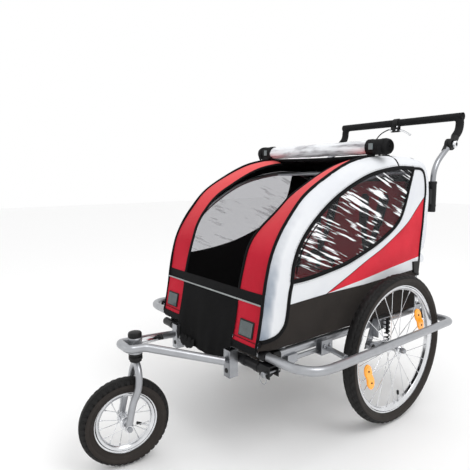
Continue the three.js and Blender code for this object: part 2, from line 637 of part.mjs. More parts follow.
put('brake_clamp', brakeClampGeometry(), BLACK_PLASTIC);
put('brake_lever', brakeLeverGeometry(), SILVER);
put('brake_cable_upper', tube(smooth(UPPER_CABLE), CABLE_R, { sides: 5, steps: 26 }), BLACK_PLASTIC);
put('brake_cable_lower', tube(smooth(LOWER_CABLE), CABLE_R, { sides: 5, steps: 24 }), BLACK_PLASTIC);

export default trailer;
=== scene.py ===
# Child bicycle trailer in its stroller set-up. Lengths are millimetres measured from the rear axle,
# with +Z up, the front along -Y and the trailer's left side along +X, unless a name says otherwise.
import math

import bmesh
import bpy
import numpy as np
from mathutils import Matrix, Vector
from mathutils.geometry import delaunay_2d_cdt


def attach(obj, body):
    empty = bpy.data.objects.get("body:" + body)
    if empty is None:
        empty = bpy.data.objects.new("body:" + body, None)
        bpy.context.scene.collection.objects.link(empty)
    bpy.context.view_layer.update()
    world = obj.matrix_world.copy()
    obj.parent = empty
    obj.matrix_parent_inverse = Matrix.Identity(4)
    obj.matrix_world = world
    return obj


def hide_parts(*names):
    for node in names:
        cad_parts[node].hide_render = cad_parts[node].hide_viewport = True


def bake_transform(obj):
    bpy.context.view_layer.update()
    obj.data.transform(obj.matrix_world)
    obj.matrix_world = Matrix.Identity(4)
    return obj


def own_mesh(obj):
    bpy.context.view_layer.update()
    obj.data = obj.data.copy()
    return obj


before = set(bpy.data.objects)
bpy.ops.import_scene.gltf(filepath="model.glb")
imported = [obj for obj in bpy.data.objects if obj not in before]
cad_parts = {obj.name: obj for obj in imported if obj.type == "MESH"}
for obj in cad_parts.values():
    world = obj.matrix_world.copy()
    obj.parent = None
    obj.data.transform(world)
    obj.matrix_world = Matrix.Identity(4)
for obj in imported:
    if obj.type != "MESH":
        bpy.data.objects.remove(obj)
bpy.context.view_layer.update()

MM = 0.001
AXLE_BEHIND_ORIGIN = 222.85
SIDES = (("left", 1), ("right", -1))

# ---- Driving sizes, as in the CAD ----
REAR_WHEEL_X, REAR_WHEEL_R, REAR_RIM_R = 330, 250, 212
FRONT_WHEEL_R, FRONT_RIM_R, FORK_RAKE = 128, 88, 36
STEER_Y, STEER_TURN, LOCK_Z = -771, math.radians(10.6), 352
CABIN_HALF, SIDE_X = 252, 285
GRIP_Y, GRIP_Z, HANDLE_X = 468, 1043, 275
HINGE = (400, 935)

TRAILER = Matrix.Scale(MM, 4) @ Matrix.Translation((0, AXLE_BEHIND_ORIGIN, 0))
STEERING = TRAILER @ Matrix.Translation((0, STEER_Y, 0)) @ Matrix.Rotation(-STEER_TURN, 4, "Z")
FRONT_WHEEL = STEERING @ Matrix.Translation((0, -FORK_RAKE, FRONT_WHEEL_R))


def side_frame(sign):
    return TRAILER @ Matrix.Scale(sign, 4, (1, 0, 0))


def wheel_frame(sign):
    return side_frame(sign) @ Matrix.Translation((REAR_WHEEL_X, 0, REAR_WHEEL_R))


def both_sides():
    """Each side's name with its frame, in which outwards is +X."""
    return [(side, side_frame(sign)) for side, sign in SIDES]


class Look:
    """A Principled material with a short way to add procedural colour, roughness and bump."""

    def __init__(self, name, slot, colour, rough, metal=0.0):
        self.material = bpy.data.materials.new(name)
        self.material.use_nodes = True
        self.tree = self.material.node_tree
        self.shader = self.tree.nodes["Principled BSDF"]
        self.colour = colour
        self.set(Base_Color=(*colour, 1), Roughness=rough, Metallic=metal)
        self.place = self.tree.nodes.new("ShaderNodeTexCoord").outputs["Object"]
        self.height = None

    def node(self, kind, links=None, **values):
        node = self.tree.nodes.new(kind)
        for key, value in values.items():
            setattr(node, key, value)
        for key, value in (links or {}).items():
            if isinstance(value, bpy.types.NodeSocket):
                self.tree.links.new(value, node.inputs[key])
            else:
                node.inputs[key].default_value = value
        return node

    def noise(self, scale, detail=3.0, place=None):
        links = {"Vector": place or self.place, "Scale": scale, "Detail": detail}
        return self.node("ShaderNodeTexNoise", links).outputs["Fac"]

    def wave(self, scale, direction, place=None):
        links = {"Vector": place or self.place, "Scale": scale}
        return self.node("ShaderNodeTexWave", links, bands_direction=direction).outputs["Fac"]

    def math(self, operation, a, b=0.0):
        return self.node("ShaderNodeMath", {0: a, 1: b}, operation=operation).outputs[0]

    def ramp(self, value, low, high, to_low=0.0, to_high=1.0):
        links = {0: value, 1: low, 2: high, 3: to_low, 4: to_high}
        return self.node("ShaderNodeMapRange", links).outputs[0]

    def set(self, **values):
        """Values of the shader's inputs, their names written with _ for a space."""
        for key, value in values.items():
            self.shader.inputs[key.replace("_", " ")].default_value = value
        return self

    def weave(self, thread):
        return self.math("MULTIPLY", self.wave(thread, "Y"), self.wave(thread, "Z"))

    def tint(self, value, other):
        """Mix another colour into the one so far."""
        mix = self.node("ShaderNodeMix", {0: value}, data_type="RGBA")
        base = self.shader.inputs["Base Color"]
        mix.inputs[6].default_value = (*self.colour, 1)
        mix.inputs[7].default_value = (*other, 1)
        if base.is_linked:
            self.tree.links.new(base.links[0].from_socket, mix.inputs[6])
        self.tree.links.new(mix.outputs[2], base)
        return self

    def see_through(self, cover, tint=(1, 1, 1, 1)):
        """Light passes where the cover is thin."""
        clear = self.node("ShaderNodeBsdfTransparent", {"Color": tint})
        mix = self.node("ShaderNodeMixShader", {0: cover, 1: clear.outputs[0], 2: self.shader.outputs[0]})
        self.tree.links.new(mix.outputs[0], self.tree.nodes["Material Output"].inputs["Surface"])
        return self

    def roughen(self, value, low, high):
        self.tree.links.new(self.ramp(value, 0, 1, low, high), self.shader.inputs["Roughness"])
        return self

    def bump(self, value, depth_mm, strength=1.0):
        links = {"Height": value, "Strength": strength, "Distance": depth_mm * MM}
        if self.height:
            links["Normal"] = self.height
        self.height = self.node("ShaderNodeBump", links).outputs[0]
        self.tree.links.new(self.height, self.shader.inputs["Normal"])
        return self


def woven(name, slot, colour, shade, rough=0.75, sheen=0.25, thread=900, wrinkle=1.6):
    look = Look(name, slot, colour, rough)
    look.set(Specular_IOR_Level=0.22, Sheen_Weight=sheen, Sheen_Roughness=0.4)
    look.tint(look.ramp(look.noise(9, 4), 0.4, 0.75), shade)
    look.bump(look.noise(7, 2), 6 * wrinkle, 0.35)
    look.bump(look.noise(28, 3), wrinkle, 0.5)
    return look.bump(look.weave(thread), 0.25, 0.6)


def metal(name, slot, colour, rough, metallic=1.0, grain=0.15):
    look = Look(name, slot, colour, rough, metallic)
    look.tint(look.ramp(look.noise(35, 4), 0.35, 0.8), tuple(c * 0.86 for c in colour))
    look.roughen(look.noise(60, 3), rough - 0.06, rough + 0.08)
    return look.bump(look.noise(900, 2), grain, 0.35)


def plain(name, slot, colour, rough, scuff=1.4, grain=0.12):
    look = Look(name, slot, colour, rough)
    look.set(Specular_IOR_Level=0.3)
    look.tint(look.ramp(look.noise(25, 5), 0.5, 0.85), tuple(min(1, c * scuff + 0.002) for c in colour))
    look.roughen(look.noise(40, 3), rough - 0.08, rough + 0.1)
    return look.bump(look.noise(1100, 2), grain, 0.5)


def mesh_net(name, slot, colour, cover):
    """Fine dark net: the gaps let light through in the share that the yarn doesn't cover."""
    look = Look(name, slot, colour, 0.8)
    return look.see_through(look.ramp(look.weave(420), 0, 1, cover - 0.1, cover + 0.1))


def creased_vinyl(name, slot, streaks_over, strongest):
    """Clear sheet: see-through where it is flat, with painted white highlights in streaks where its creases
    would catch the sky.
    """
    look = Look(name, slot, (0.93, 0.94, 0.96), 0.12)
    look.set(Specular_IOR_Level=0.8)
    tilted = look.node("ShaderNodeVectorRotate", {"Vector": look.place, "Angle": math.radians(21)},
                       rotation_type="X_AXIS").outputs[0]
    long_way = look.node("ShaderNodeMapping", {0: tilted, "Scale": (1, 7, 92)}).outputs[0]
    folds = look.noise(1.0, 2, long_way)
    fine = look.noise(2.2, 4, long_way)
    patches = look.noise(7, 2)
    total = look.math("ADD", look.math("ADD", folds, look.math("MULTIPLY", fine, 0.7)),
                      look.math("MULTIPLY", patches, 0.5))
    # streak is the painted highlight mask: where it is high the sheet is drawn opaque white instead of clear
    streak = look.ramp(total, streaks_over, streaks_over + 0.09)
    look.bump(folds, 9, 0.7)
    look.bump(fine, 3, 0.6)
    return look.see_through(look.ramp(streak, 0, 1, 0.02, strongest), (0.84, 0.84, 0.87, 1))


def white_with_painted_shade(name):
    """White coated cloth with painted shade: its face to the front is tinted a dull blue grey in patches, low
    down and as far up as the front stands steep, for the shade on that face.
    """
    look = woven(name, "white_cloth", (0.74, 0.755, 0.78), (0.67, 0.69, 0.73), 0.6, 0.03, wrinkle=2.6)
    facing = look.tree.nodes.new("ShaderNodeTexCoord").outputs["Normal"]
    forward = look.node("ShaderNodeSeparateXYZ", {0: facing}).outputs[1]
    height = look.node("ShaderNodeSeparateXYZ", {0: look.place}).outputs[2]
    low = look.ramp(height, 0.5, 0.74, 1.0, 0.0)
    steep = look.ramp(look.math("MULTIPLY", forward, -1.0), 0.42, 0.78)
    patches = look.ramp(look.noise(6.5, 4), 0.36, 0.6, 0.55, 1.0)
    # share is the painted shade mask: faces turned to the front, steep and low on the cabin, broken into
    # patches
    share = look.math("MULTIPLY", look.math("MULTIPLY", low, steep), patches)
    return look.tint(share, (0.20, 0.25, 0.32))


def red_with_painted_light(name):
    """Red cloth with painted light: paler towards the top of the cabin, where more light falls on it."""
    look = woven(name, "red_cloth", (0.50, 0.008, 0.027), (0.41, 0.006, 0.02), 0.8, 0.03)
    height = look.node("ShaderNodeSeparateXYZ", {0: look.place}).outputs[2]
    # painted light: the red turns paler with height, standing in for the light on the top of the front band
    return look.tint(look.ramp(height, 0.6, 0.9), (0.80, 0.12, 0.12))


L = {
    "silver": metal("silver powder coat", "silver_tube", (0.40, 0.41, 0.43), 0.34, 0.8),
    "steel": metal("zinc steel", "zinc_steel", (0.36, 0.37, 0.39), 0.34),
    "chrome": metal("polished steel", "wheel_metal", (0.78, 0.79, 0.81), 0.12, grain=0.03),
    "rim": metal("rim aluminium", "wheel_metal", (0.74, 0.75, 0.77), 0.2, grain=0.05),
    "black_paint": plain("black paint", "black_metal", (0.005, 0.005, 0.006), 0.35),
    "plastic": plain("black plastic", "black_plastic", (0.004, 0.004, 0.0045), 0.5),
    "jacket": plain("cable jacket", "cable_jacket", (0.004, 0.004, 0.004), 0.3),
    "foam": plain("grip foam", "foam", (0.0035, 0.0035, 0.004), 0.8, grain=0.9),
    "tread": plain("tyre tread", "tyre_rubber", (0.006, 0.0055, 0.0055), 0.7),
    "wall": plain("tyre side wall", "tyre_rubber", (0.020, 0.0155, 0.013), 0.6),
    "red": red_with_painted_light("red cloth"),
    "flat_red": woven("panel red cloth", "red_cloth", (0.66, 0.024, 0.044), (0.50, 0.014, 0.028), 0.7, 0.03),
    "seat_red": woven("seat red cloth", "red_cloth", (0.44, 0.009, 0.022), (0.34, 0.006, 0.016), 0.9, 0.02),
    "white": white_with_painted_shade("white cloth"),
    "black": woven("black cloth", "black_cloth", (0.0012, 0.0012, 0.0015), (0.0024, 0.0024, 0.003), 0.95,
                   0.0),
    "brown": woven("dark side cloth", "black_cloth", (0.024, 0.0195, 0.017), (0.016, 0.013, 0.0115), 0.8,
                   0.03),
    "binding": woven("black binding", "black_cloth", (0.0015, 0.0015, 0.002), (0.003, 0.003, 0.004), 0.85,
                     0.0,
                     1500, 0.3),
    "webbing": woven("black webbing", "black_cloth", (0.003, 0.003, 0.0035), (0.007, 0.007, 0.008), 0.8, 0.02,
                     1300, 0.4),
    "reflect": plain("reflective strip", "white_cloth", (0.28, 0.30, 0.30), 0.3),
    "lens": plain("grey reflector", "white_cloth", (0.10, 0.125, 0.13), 0.12),
    "orange": plain("orange reflector", "wheel_metal", (0.95, 0.36, 0.012), 0.15, 1.1),
    "net": mesh_net("window net", "black_cloth", (0.004, 0.004, 0.005), 0.47),
    "roll_net": plain("roll end net", "black_cloth", (0.004, 0.004, 0.0045), 0.85, grain=1.5),
    "vinyl_left": creased_vinyl("creased clear vinyl", "clear_vinyl", 1.15, 0.96),
    "vinyl_right": creased_vinyl("clear vinyl with fainter painted highlights", "clear_vinyl", 1.24, 0.4),
}
L["lens"].set(Coat_Weight=1)
# painted light: the orange reflectors get a faint emission, a glow standing in for the light they shine back
L["orange"].set(Coat_Weight=1, Emission_Color=(1.0, 0.35, 0.01, 1), Emission_Strength=0.25)
L["wall"].bump(L["wall"].noise(300, 3), 0.4, 0.4)


def rolled_vinyl():
    """Wrinkled clear sheet wound on itself, so milky and no longer see-through."""
    look = Look("rolled vinyl", "clear_vinyl", (0.80, 0.82, 0.85), 0.14)
    stretched = look.node("ShaderNodeMapping", {0: look.place, "Scale": (9, 42, 42)}).outputs[0]
    ripple = look.noise(1.0, 5, stretched)
    look.tint(look.ramp(ripple, 0.46, 0.66), (0.17, 0.16, 0.18))
    look.set(Coat_Weight=1, Coat_Roughness=0.08)
    return look.bump(ripple, 6, 0.8)


L["roll"] = rolled_vinyl()


# ---- Shapes ----
EDGE_ANGLE, CLOTH_CREASE = 38, 60  # degrees from which an edge is sharp, on hard parts and on cloth


def smooth(points, steps=12):
    """Points along a Catmull-Rom curve through the given ones."""
    pts = [Vector(p) for p in points]
    pts = [pts[0] * 2 - pts[1]] + pts + [pts[-1] * 2 - pts[-2]]
    line = []
    for a, b, c, d in zip(pts, pts[1:], pts[2:], pts[3:]):
        for i in range(steps):
            t = i / steps
            line.append((b * 2 + (c - a) * t + (a * 2 - b * 5 + c * 4 - d) * t * t
                         + (b * 3 - a - c * 3 + d) * t ** 3) / 2)
    return line + [pts[-2]]


def bent(points, radius, steps=10):
    """A straight path whose corners are bent to the radius."""
    pts = [Vector(p) for p in points]
    line = [pts[0]]
    for a, b, c in zip(pts, pts[1:], pts[2:]):
        into, out = (a - b).normalized(), (c - b).normalized()
        half = into.angle(out) / 2
        reach = min(radius / math.tan(half), (a - b).length * 0.5, (c - b).length * 0.5)
        for i in range(steps + 1):
            t = i / steps
            line.append((b + into * reach) * (1 - t) ** 2 + b * (2 * t * (1 - t)) + (b + out * reach) * t * t)
    return line + [pts[-1]]


def heading(line, i):
    """Which way a line runs at its point i."""
    return (line[min(i + 1, len(line) - 1)] - line[max(i - 1, 0)]).normalized()


def ring_faces(rings, around):
    """Quads between closed rings of points, one ring after the other."""
    return [[i * around + k, i * around + (k + 1) % around, (i + 1) * around + (k + 1) % around,
             (i + 1) * around + k] for i in range(rings) for k in range(around)]


def turned_faces(segments, rows):
    """Quads between lines of points set round a circle, the last one joined to the first."""
    return [[s * rows + r, (s + 1) % segments * rows + r, (s + 1) % segments * rows + r + 1, s * rows + r + 1]
            for s in range(segments) for r in range(rows - 1)]


def in_scene(name, data):
    obj = bpy.data.objects.new(name, data)
    bpy.context.scene.collection.objects.link(obj)
    return obj


def grid_faces(rows, columns):
    """Quads between lines of points, one point more each way than there are quads."""
    w = columns + 1
    return [[r * w + k, r * w + k + 1, (r + 1) * w + k + 1, (r + 1) * w + k]
            for r in range(rows) for k in range(columns)]


class Piece:
    """One visible piece: surfaces in one frame, gathered into a mesh."""

    def __init__(self, placed=TRAILER):
        self.placed, self.points, self.faces = placed, [], []

    def add(self, points, faces):
        first = len(self.points)
        self.points += [Vector(p) for p in points]
        self.faces += [[first + i for i in face] for face in faces]
        return self

    def tube(self, line, radius, sides=20, squash=1.0, up=(0, 0, 1)):
        """A round tube along a line. A radius may be a function of the share of the way along it."""
        line = [Vector(p) for p in line]
        normal = None
        points = []
        for i, here in enumerate(line):
            ahead = heading(line, i)
            if normal is None:
                seed = Vector(up) if abs(ahead.dot(Vector(up))) < 0.95 else Vector((1, 0, 0))
                normal = ahead.cross(seed).normalized()
            normal = (normal - ahead * normal.dot(ahead)).normalized()
            other = ahead.cross(normal)
            size = radius(i / (len(line) - 1)) if callable(radius) else radius
            for k in range(sides):
                turn = 2 * math.pi * k / sides
                points.append(here + normal * math.cos(turn) * size + other * math.sin(turn) * size * squash)
        faces = ring_faces(len(line) - 1, sides)
        faces.append(list(range(sides))[::-1])
        faces.append([len(points) - sides + k for k in range(sides)])
        return self.add(points, faces)

    def turned(self, profile, centre=(0, 0, 0), axis="X", segments=56):
        """A profile of (distance along the axis, radius) turned about it."""
        points = []
        for s in range(segments):
            turn = 2 * math.pi * s / segments
            for along, radius in profile:
                u, v = radius * math.cos(turn), radius * math.sin(turn)
                spot = {"X": (along, u, v), "Y": (v, along, u), "Z": (u, v, along)}[axis]
                points.append(Vector(centre) + Vector(spot))
        return self.add(points, turned_faces(segments, len(profile)))

    def prism(self, outline, axis, low, high):
        """A flat outline given depth along an axis. Its pairs are (Y, Z), (X, Z) or (X, Y)."""
        put = {"X": lambda a, b, d: (d, a, b), "Y": lambda a, b, d: (a, d, b), "Z": lambda a, b,
               d: (a, b, d)}[axis]
        n = len(outline)
        points = [put(a, b, d) for d in (low, high) for a, b in outline]
        faces = [list(range(n)), list(range(n, 2 * n))[::-1]]
        faces += [[i, (i + 1) % n, n + (i + 1) % n, n + i] for i in range(n)]
        return self.add(points, faces)

    def box(self, x0, x1, y0, y1, z0, z1):
        return self.prism([(y0, z0), (y1, z0), (y1, z1), (y0, z1)], "X", x0, x1)

    def rod(self, a, b, radius, sides=20):
        return self.tube([a, b], radius, sides)

    def done(self, name, look, body="chassis", replaces=None, bevel=0.0, crease=EDGE_ANGLE, inside=False):
        mesh = bpy.data.meshes.new(name)
        mesh.from_pydata([self.placed @ p for p in self.points], [], self.faces)
        mesh.materials.append(L[look].material)
        mesh.polygons.foreach_set("use_smooth", [True] * len(mesh.polygons))
        obj = in_scene(name, mesh)
        if not inside:
            tidy_normals(mesh)
        mesh.set_sharp_from_angle(angle=math.radians(crease))
        if bevel:
            rounded(obj, bevel)
        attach(obj, body)
        if replaces:
            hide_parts(replaces)
        return obj


def tidy_normals(mesh):
    work = bmesh.new()
    work.from_mesh(mesh)
    bmesh.ops.remove_doubles(work, verts=work.verts, dist=1e-6)
    bmesh.ops.recalc_face_normals(work, faces=work.faces)
    work.to_mesh(mesh)
    work.free()


def rounded(obj, width_mm):
    edge = obj.modifiers.new("rounded edges", "BEVEL")
    edge.width, edge.segments, edge.limit_method = width_mm * MM, 3, "ANGLE"
    edge.angle_limit = math.radians(EDGE_ANGLE)
    edge.harden_normals = True


def finish_node(name, look, bevel=0.6):
    """A CAD node that stays in view, with its edges rounded and its finish put on."""
    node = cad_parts[name]
    node.data.materials.clear()
    node.data.materials.append(L[look].material)
    if bevel:
        rounded(node, bevel)


# ---- Frame ----
def ground_frame():
    for side, at in both_sides():
        rail = Piece(at).rod((270, -469.7, 329), (270, 267.7, 329), 12.5, 32)
        rail.rod((279, -424, 307), (279, -321, 307), 7).rod((300, -300, 314), (398, -336, 324), 8)
        rail.turned([(-3, 8), (-3, 11), (3, 10), (6, 8)], (300, -304, 315), "X", 24)
        rail.done(f"rail_{side}", "silver", replaces=f"side_rail_{side}", bevel=1.2)
        folds = Piece(at).prism([(-452, 324), (-452, 306), (-432, 296), (-414, 300), (-414, 324)], "X", 262,
                                290)
        folds.box(258, 308, -333, -287, 300, 303).box(305, 308, -333, -287, 303, 344)
        folds.box(282.6, 285, -333, -287, 303, 344)
        for y in (-322, -298):
            folds.turned([(308, 0), (308, 6), (311, 6), (312.5, 4.5), (312.5, 0)], (0, y, 326), "X", 6)
        folds.done(f"rail_brackets_{side}", "steel", bevel=0.9)
        bumper = bent([(237, -512, 331), (432, -512, 331), (377, 285, 298), (300, 285, 298)], 90, 16)
        Piece(at).tube(bumper, 12.5, 28).done(f"bumper_{side}", "silver", replaces=f"side_bumper_{side}",
                                              bevel=1.5)
        clamp = Piece(at).turned([(-13, 12.8), (-13, 15.5), (13, 15.5), (13, 12.8)], (262, -512, 331), "X",
                                 32)
        clamp.turned([(0, 0), (0, 5), (5, 5), (5, 0)], (262, -512, 346), "Z", 6)
        clamp.done(f"bumper_clamp_{side}", "plastic", bevel=0.8)
        arm = bent([(146, -566, 292), (34.5, -757, 346), (32, -805, 350), (0.2, -805, 350)], 34, 12)
        Piece(at).tube(arm, 12, 28).done(f"arm_{side}", "silver", replaces=f"jogger_arm_{side}", bevel=1)
        sleeve = Piece(at).box(133, 135.3, -559, -529, 243, 324).box(160.7, 163, -559, -529, 243, 324)
        sleeve.box(135.3, 160.7, -559, -556.7, 243, 324).box(135.3, 160.7, -531.3, -529, 243, 324)
        sleeve.done(f"arm_sleeve_{side}", "steel", bevel=0.5)
        bolt = Piece(at).turned([(0, 0), (0, 7), (4, 7), (6, 4.5), (6, 0)], (146, -560.5, 262), "Y", 24)
        bolt.done(f"arm_bolt_{side}", "plastic", bevel=0.4)
        corner = Piece(at).box(236, 282, -498, -470, 279, 342)
        corner.done(f"front_corner_{side}", "plastic", bevel=4)
        Piece(at).box(252, 299.7, 268, 302, 284, 343).done(f"rear_corner_{side}", "plastic", bevel=5)
        cap = Piece(at).turned([(302, 0), (302, 6), (304, 6), (305.5, 4), (305.5, 0)], (285, 0, 300), "Y", 24)
        cap.done(f"rear_bolt_{side}", "steel", bevel=0.3)
    crossbar = Piece().rod((-286, -514, 293), (286, -514, 293), 14, 32)
    for x in (-236, -180, 180, 236):
        crossbar.turned([(-8, 14), (-8, 15.6), (8, 15.6), (8, 14)], (x, -514, 293), "X", 32)
    crossbar.done("front_bar", "black_paint", replaces="front_crossbar", bevel=1)
    Piece().rod((-257, -60, 329), (257, -60, 329), 11, 28).done("seat_bar", "silver",
                                                                replaces="seat_crossbar")
    Piece().rod((-257, 285, 329), (257, 285, 329), 11, 28).done("rear_bar", "silver",
                                                                replaces="rear_crossbar")
    finish_node("tow_receiver", "black_paint", 0.8)
    pin = Piece().rod((293, -545, 297), (293, -488, 297), 3, 20)
    pin.turned([(-549, 0), (-549, 6), (-548, 8), (-545, 8), (-544, 6), (-544, 3)], (293, 0, 297), "Y", 28)
    pin.done("tow_pin", "steel", "hitch_pin", replaces="hitch_pin")
    loop = [(293 + 13 * math.sin(t), -546.5, 285 + 13 * math.cos(t)) for t in np.linspace(0, 2 * math.pi, 29)]
    Piece().tube(loop, 1.1, 10).done("tow_pin_ring", "steel", "hitch_pin")


SPRING_AT, SPRING_TURNS = (297, 5), 5.5


def suspension():
    for side, at in both_sides():
        finish_node(f"suspension_bracket_{side}", "steel", 0.7)
        finish_node(f"swing_arm_{side}", "steel", 1.2)
        x, y = SPRING_AT
        coil = []
        for i in range(150):
            turn = 2 * math.pi * SPRING_TURNS * i / 149
            coil.append((x + 7.5 * math.cos(turn), y + 7.5 * math.sin(turn), 268.4 + 79 * i / 149))
        spring = Piece(at).tube(coil, 2.3, 12)
        spring = spring.done(f"spring_{side}", "black_paint", replaces=f"suspension_spring_{side}")
        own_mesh(spring)
        core = Piece(at).rod((x, y, 293), (x, y, 349), 4.7, 20)
        core.turned([(343, 0), (343, 9.6), (349.3, 9.6), (349.3, 0)], (x, y, 0), "Z", 28)
        core.done(f"spring_seat_{side}", "plastic", bevel=0.5)
        pivot = Piece(at).turned([(306.5, 0), (306.5, 8), (309, 8), (310.5, 6), (310.5, 0)], (0, -85, 268),
                                 "X", 28)
        pivot.done(f"pivot_cap_{side}", "plastic", bevel=0.3)
        axle = Piece(at).turned([(284, 0), (284, 9), (288, 9), (288, 6), (358, 6), (358, 9), (366, 9),
                                 (370, 7),
                                 (372, 4), (372, 0)], (0, 0, REAR_WHEEL_R), "X", 36)
        axle.done(f"axle_{side}", "steel", f"swing_arm_{side}", replaces=f"rear_axle_{side}")


# ---- Wheels, in a frame whose X axis is the axle ----
def on_wall(outer, inner, half, sign, t, lift):
    """A place on a tyre's side wall as (X, radius), from the rim at t = 0 to the tread at t = 1."""
    return (sign * (half * (0.62 + 0.4 * math.sin(t * math.pi * 0.62)) + lift),
            inner + 1.5 + (outer - inner) * 0.62 * t)


def tyre(at, name, body, node, outer, inner, half, knobs, chunky):
    """A tyre whose tread blocks are cut into it between a smooth crown line and the side walls."""
    around, across = knobs * 8, 25
    points = []
    for s in range(around):
        turn = 2 * math.pi * s / around
        for k in range(across):
            t = -1 + 2 * k / (across - 1)
            bulge = math.cos(t * math.pi / 2)
            x = half * math.sin(t * math.pi * 0.62) * (1 if abs(t) < 0.82 else 1 - (abs(t) - 0.82) * 2.1)
            radius = inner + 1 + (outer - inner - 1) * bulge ** 0.62
            if abs(t) < (0.74 if chunky else 0.52):
                phase = (s / 8 + abs(t) * (0.3 if chunky else 1.3)) % 1
                groove = phase < 0.36 and abs(t) > (0.26 if chunky else 0.1)
                channel = 0.2 < abs(t) < 0.3
                depth = 3.6 if chunky else 2.6
                radius -= depth if groove or channel else 0
                x -= math.copysign(depth * 0.6, t) if groove and abs(t) > 0.5 else 0
            points.append((x, radius * math.cos(turn), radius * math.sin(turn)))
    tread = Piece(at).add(points, turned_faces(around, across))
    tread.done(name, "tread", body, replaces=node, crease=30)
    for sign in (1, -1):
        wall = [on_wall(outer, inner, half, sign, i / 10, 0.25) for i in range(11)]
        ring = Piece(at).turned(wall, segments=96)
        for share in (0.12, 0.45, 0.92):
            x, radius = on_wall(outer, inner, half, sign, share, 0.2)
            ring.turned([(x - 0.7, radius + 0.7), (x + sign * 0.7, radius), (x - 0.7, radius - 0.7)],
                        segments=96)
        ring.done(f"{name}_wall_{'outer' if sign > 0 else 'inner'}", "wall", body, inside=True)


def rim(at, name, body, node, outer, half):
    side = [(half, outer + 2), (half - 1, outer + 2.6), (half - 2.5, outer - 2), (half - 0.8, outer - 5),
            (half - 2, outer - 9), (half - 6, outer - 13), (half - 8, outer - 14.5)]
    profile = side + [(-x, r) for x, r in reversed(side)]
    piece = Piece(at).turned(profile, segments=112)
    piece.done(name, "rim", body, replaces=node, crease=32)


def spokes(at, name, body, node, rim_r, flange, flange_x, count, body_half):
    lacing, nipples = Piece(at), Piece(at)
    for i in range(count):
        end = (i + 0.35) * 2 * math.pi / count
        start = end + (0.62 if i % 4 < 2 else -0.62)
        x = flange_x if i % 2 else -flange_x
        low = Vector((x, (flange - 3) * math.cos(start), (flange - 3) * math.sin(start)))
        high = Vector((x * 0.1, (rim_r - 13) * math.cos(end), (rim_r - 13) * math.sin(end)))
        lacing.rod(low, high, 1.1, 8)
        along = (high - low).normalized()
        nipples.rod(high - along * 10, high, 2.1, 10)
    lacing.done(name, "chrome", body, replaces=node)
    nipples.done(f"{name}_nipples", "chrome", body)
    half = [(0, 10.5), (flange_x - 5, 10.5), (flange_x - 2, 13), (flange_x - 1.5, flange),
            (flange_x + 1.5, flange),
            (flange_x + 2, 14), (body_half, 11), (body_half, 6.5)]
    hub = Piece(at).turned([(-x, r) for x, r in reversed(half)] + half, segments=48)
    hub.done(f"{name}_shell", "chrome", body)


def valve(at, name, body, rim_r, turn):
    out = Vector((0, math.cos(turn), math.sin(turn)))
    Piece(at).rod(out * (rim_r - 12), out * (rim_r - 38), 2.6, 14).done(name, "chrome", body)
    Piece(at).rod(out * (rim_r - 36), out * (rim_r - 50), 4, 14).done(f"{name}_cap", "plastic", body,
                                                                      bevel=0.5)


def wheel_reflector(at, name, body, radius, turn):
    """Two-lobed reflector clipped across two spokes, its long side along the rim."""
    out = Vector((0, math.cos(turn), math.sin(turn)))
    along = Vector((0, -math.sin(turn), math.cos(turn)))
    middle = out * radius + Vector((9, 0, 0))
    outline = []
    for i in range(48):
        angle = 2 * math.pi * i / 48
        waist = 1 - 0.28 * math.exp(-(math.cos(angle) / 0.3) ** 2)
        outline.append((46 * math.cos(angle), 19 * waist * math.copysign(abs(math.sin(angle)) ** 0.75,
                                                                         math.sin(angle))))
    body_piece, ribs = Piece(at), Piece(at)
    for piece, scale, low, high in ((body_piece, 1, -3, 2), (ribs, 0.86, 2, 3.4)):
        rings = [[middle + along * a * scale + out * b * scale + Vector((x, 0, 0)) for a, b in outline]
                 for x in (low, high)]
        n = len(outline)
        sides = [[i, (i + 1) % n, n + (i + 1) % n, n + i] for i in range(n)]
        piece.add(rings[0] + rings[1], [list(range(n)), list(range(n, 2 * n)), *sides])
    body_piece.done(name, "orange", body, bevel=0.8)
    ribs.done(f"{name}_lens", "orange", body, bevel=0.5)
    for share in (-0.5, 0.5):
        spot = middle + along * 46 * share
        stud = Piece(at).rod(spot + Vector((2, 0, 0)), spot + Vector((5, 0, 0)), 3, 14)
        stud.done(f"{name}_stud_{'b' if share > 0 else 'a'}", "plastic", body, bevel=0.4)


def wheels():
    for side, sign in SIDES:
        at, body = wheel_frame(sign), f"rear_wheel_{side}"
        tyre(at, f"tyre_{side}", body, f"rear_tyre_{side}", REAR_WHEEL_R, REAR_RIM_R, 22.5, 60, False)
        rim(at, f"rim_{side}", body, f"rear_rim_{side}", REAR_RIM_R, 13)
        spokes(at, f"spokes_{side}", body, f"rear_hub_{side}", REAR_RIM_R, 22, 20, 24, 26.5)
        valve(at, f"valve_{side}", body, REAR_RIM_R, math.radians(-79))
        wheel_reflector(at, f"wheel_reflector_{side}_a", body, 150, math.radians(29))
        wheel_reflector(at, f"wheel_reflector_{side}_b", body, 155, math.radians(-158))
    at, body = FRONT_WHEEL, "front_wheel"
    tyre(at, "jogger_tyre", body, "front_tyre", FRONT_WHEEL_R, FRONT_RIM_R, 25, 44, True)
    rim(at, "jogger_rim", body, "front_wheel", FRONT_RIM_R, 12)
    spokes(at, "jogger_spokes", body, "front_wheel", FRONT_RIM_R, 19, 18, 16, 28)
    valve(at, "jogger_valve", body, FRONT_RIM_R - 2, math.radians(-25))


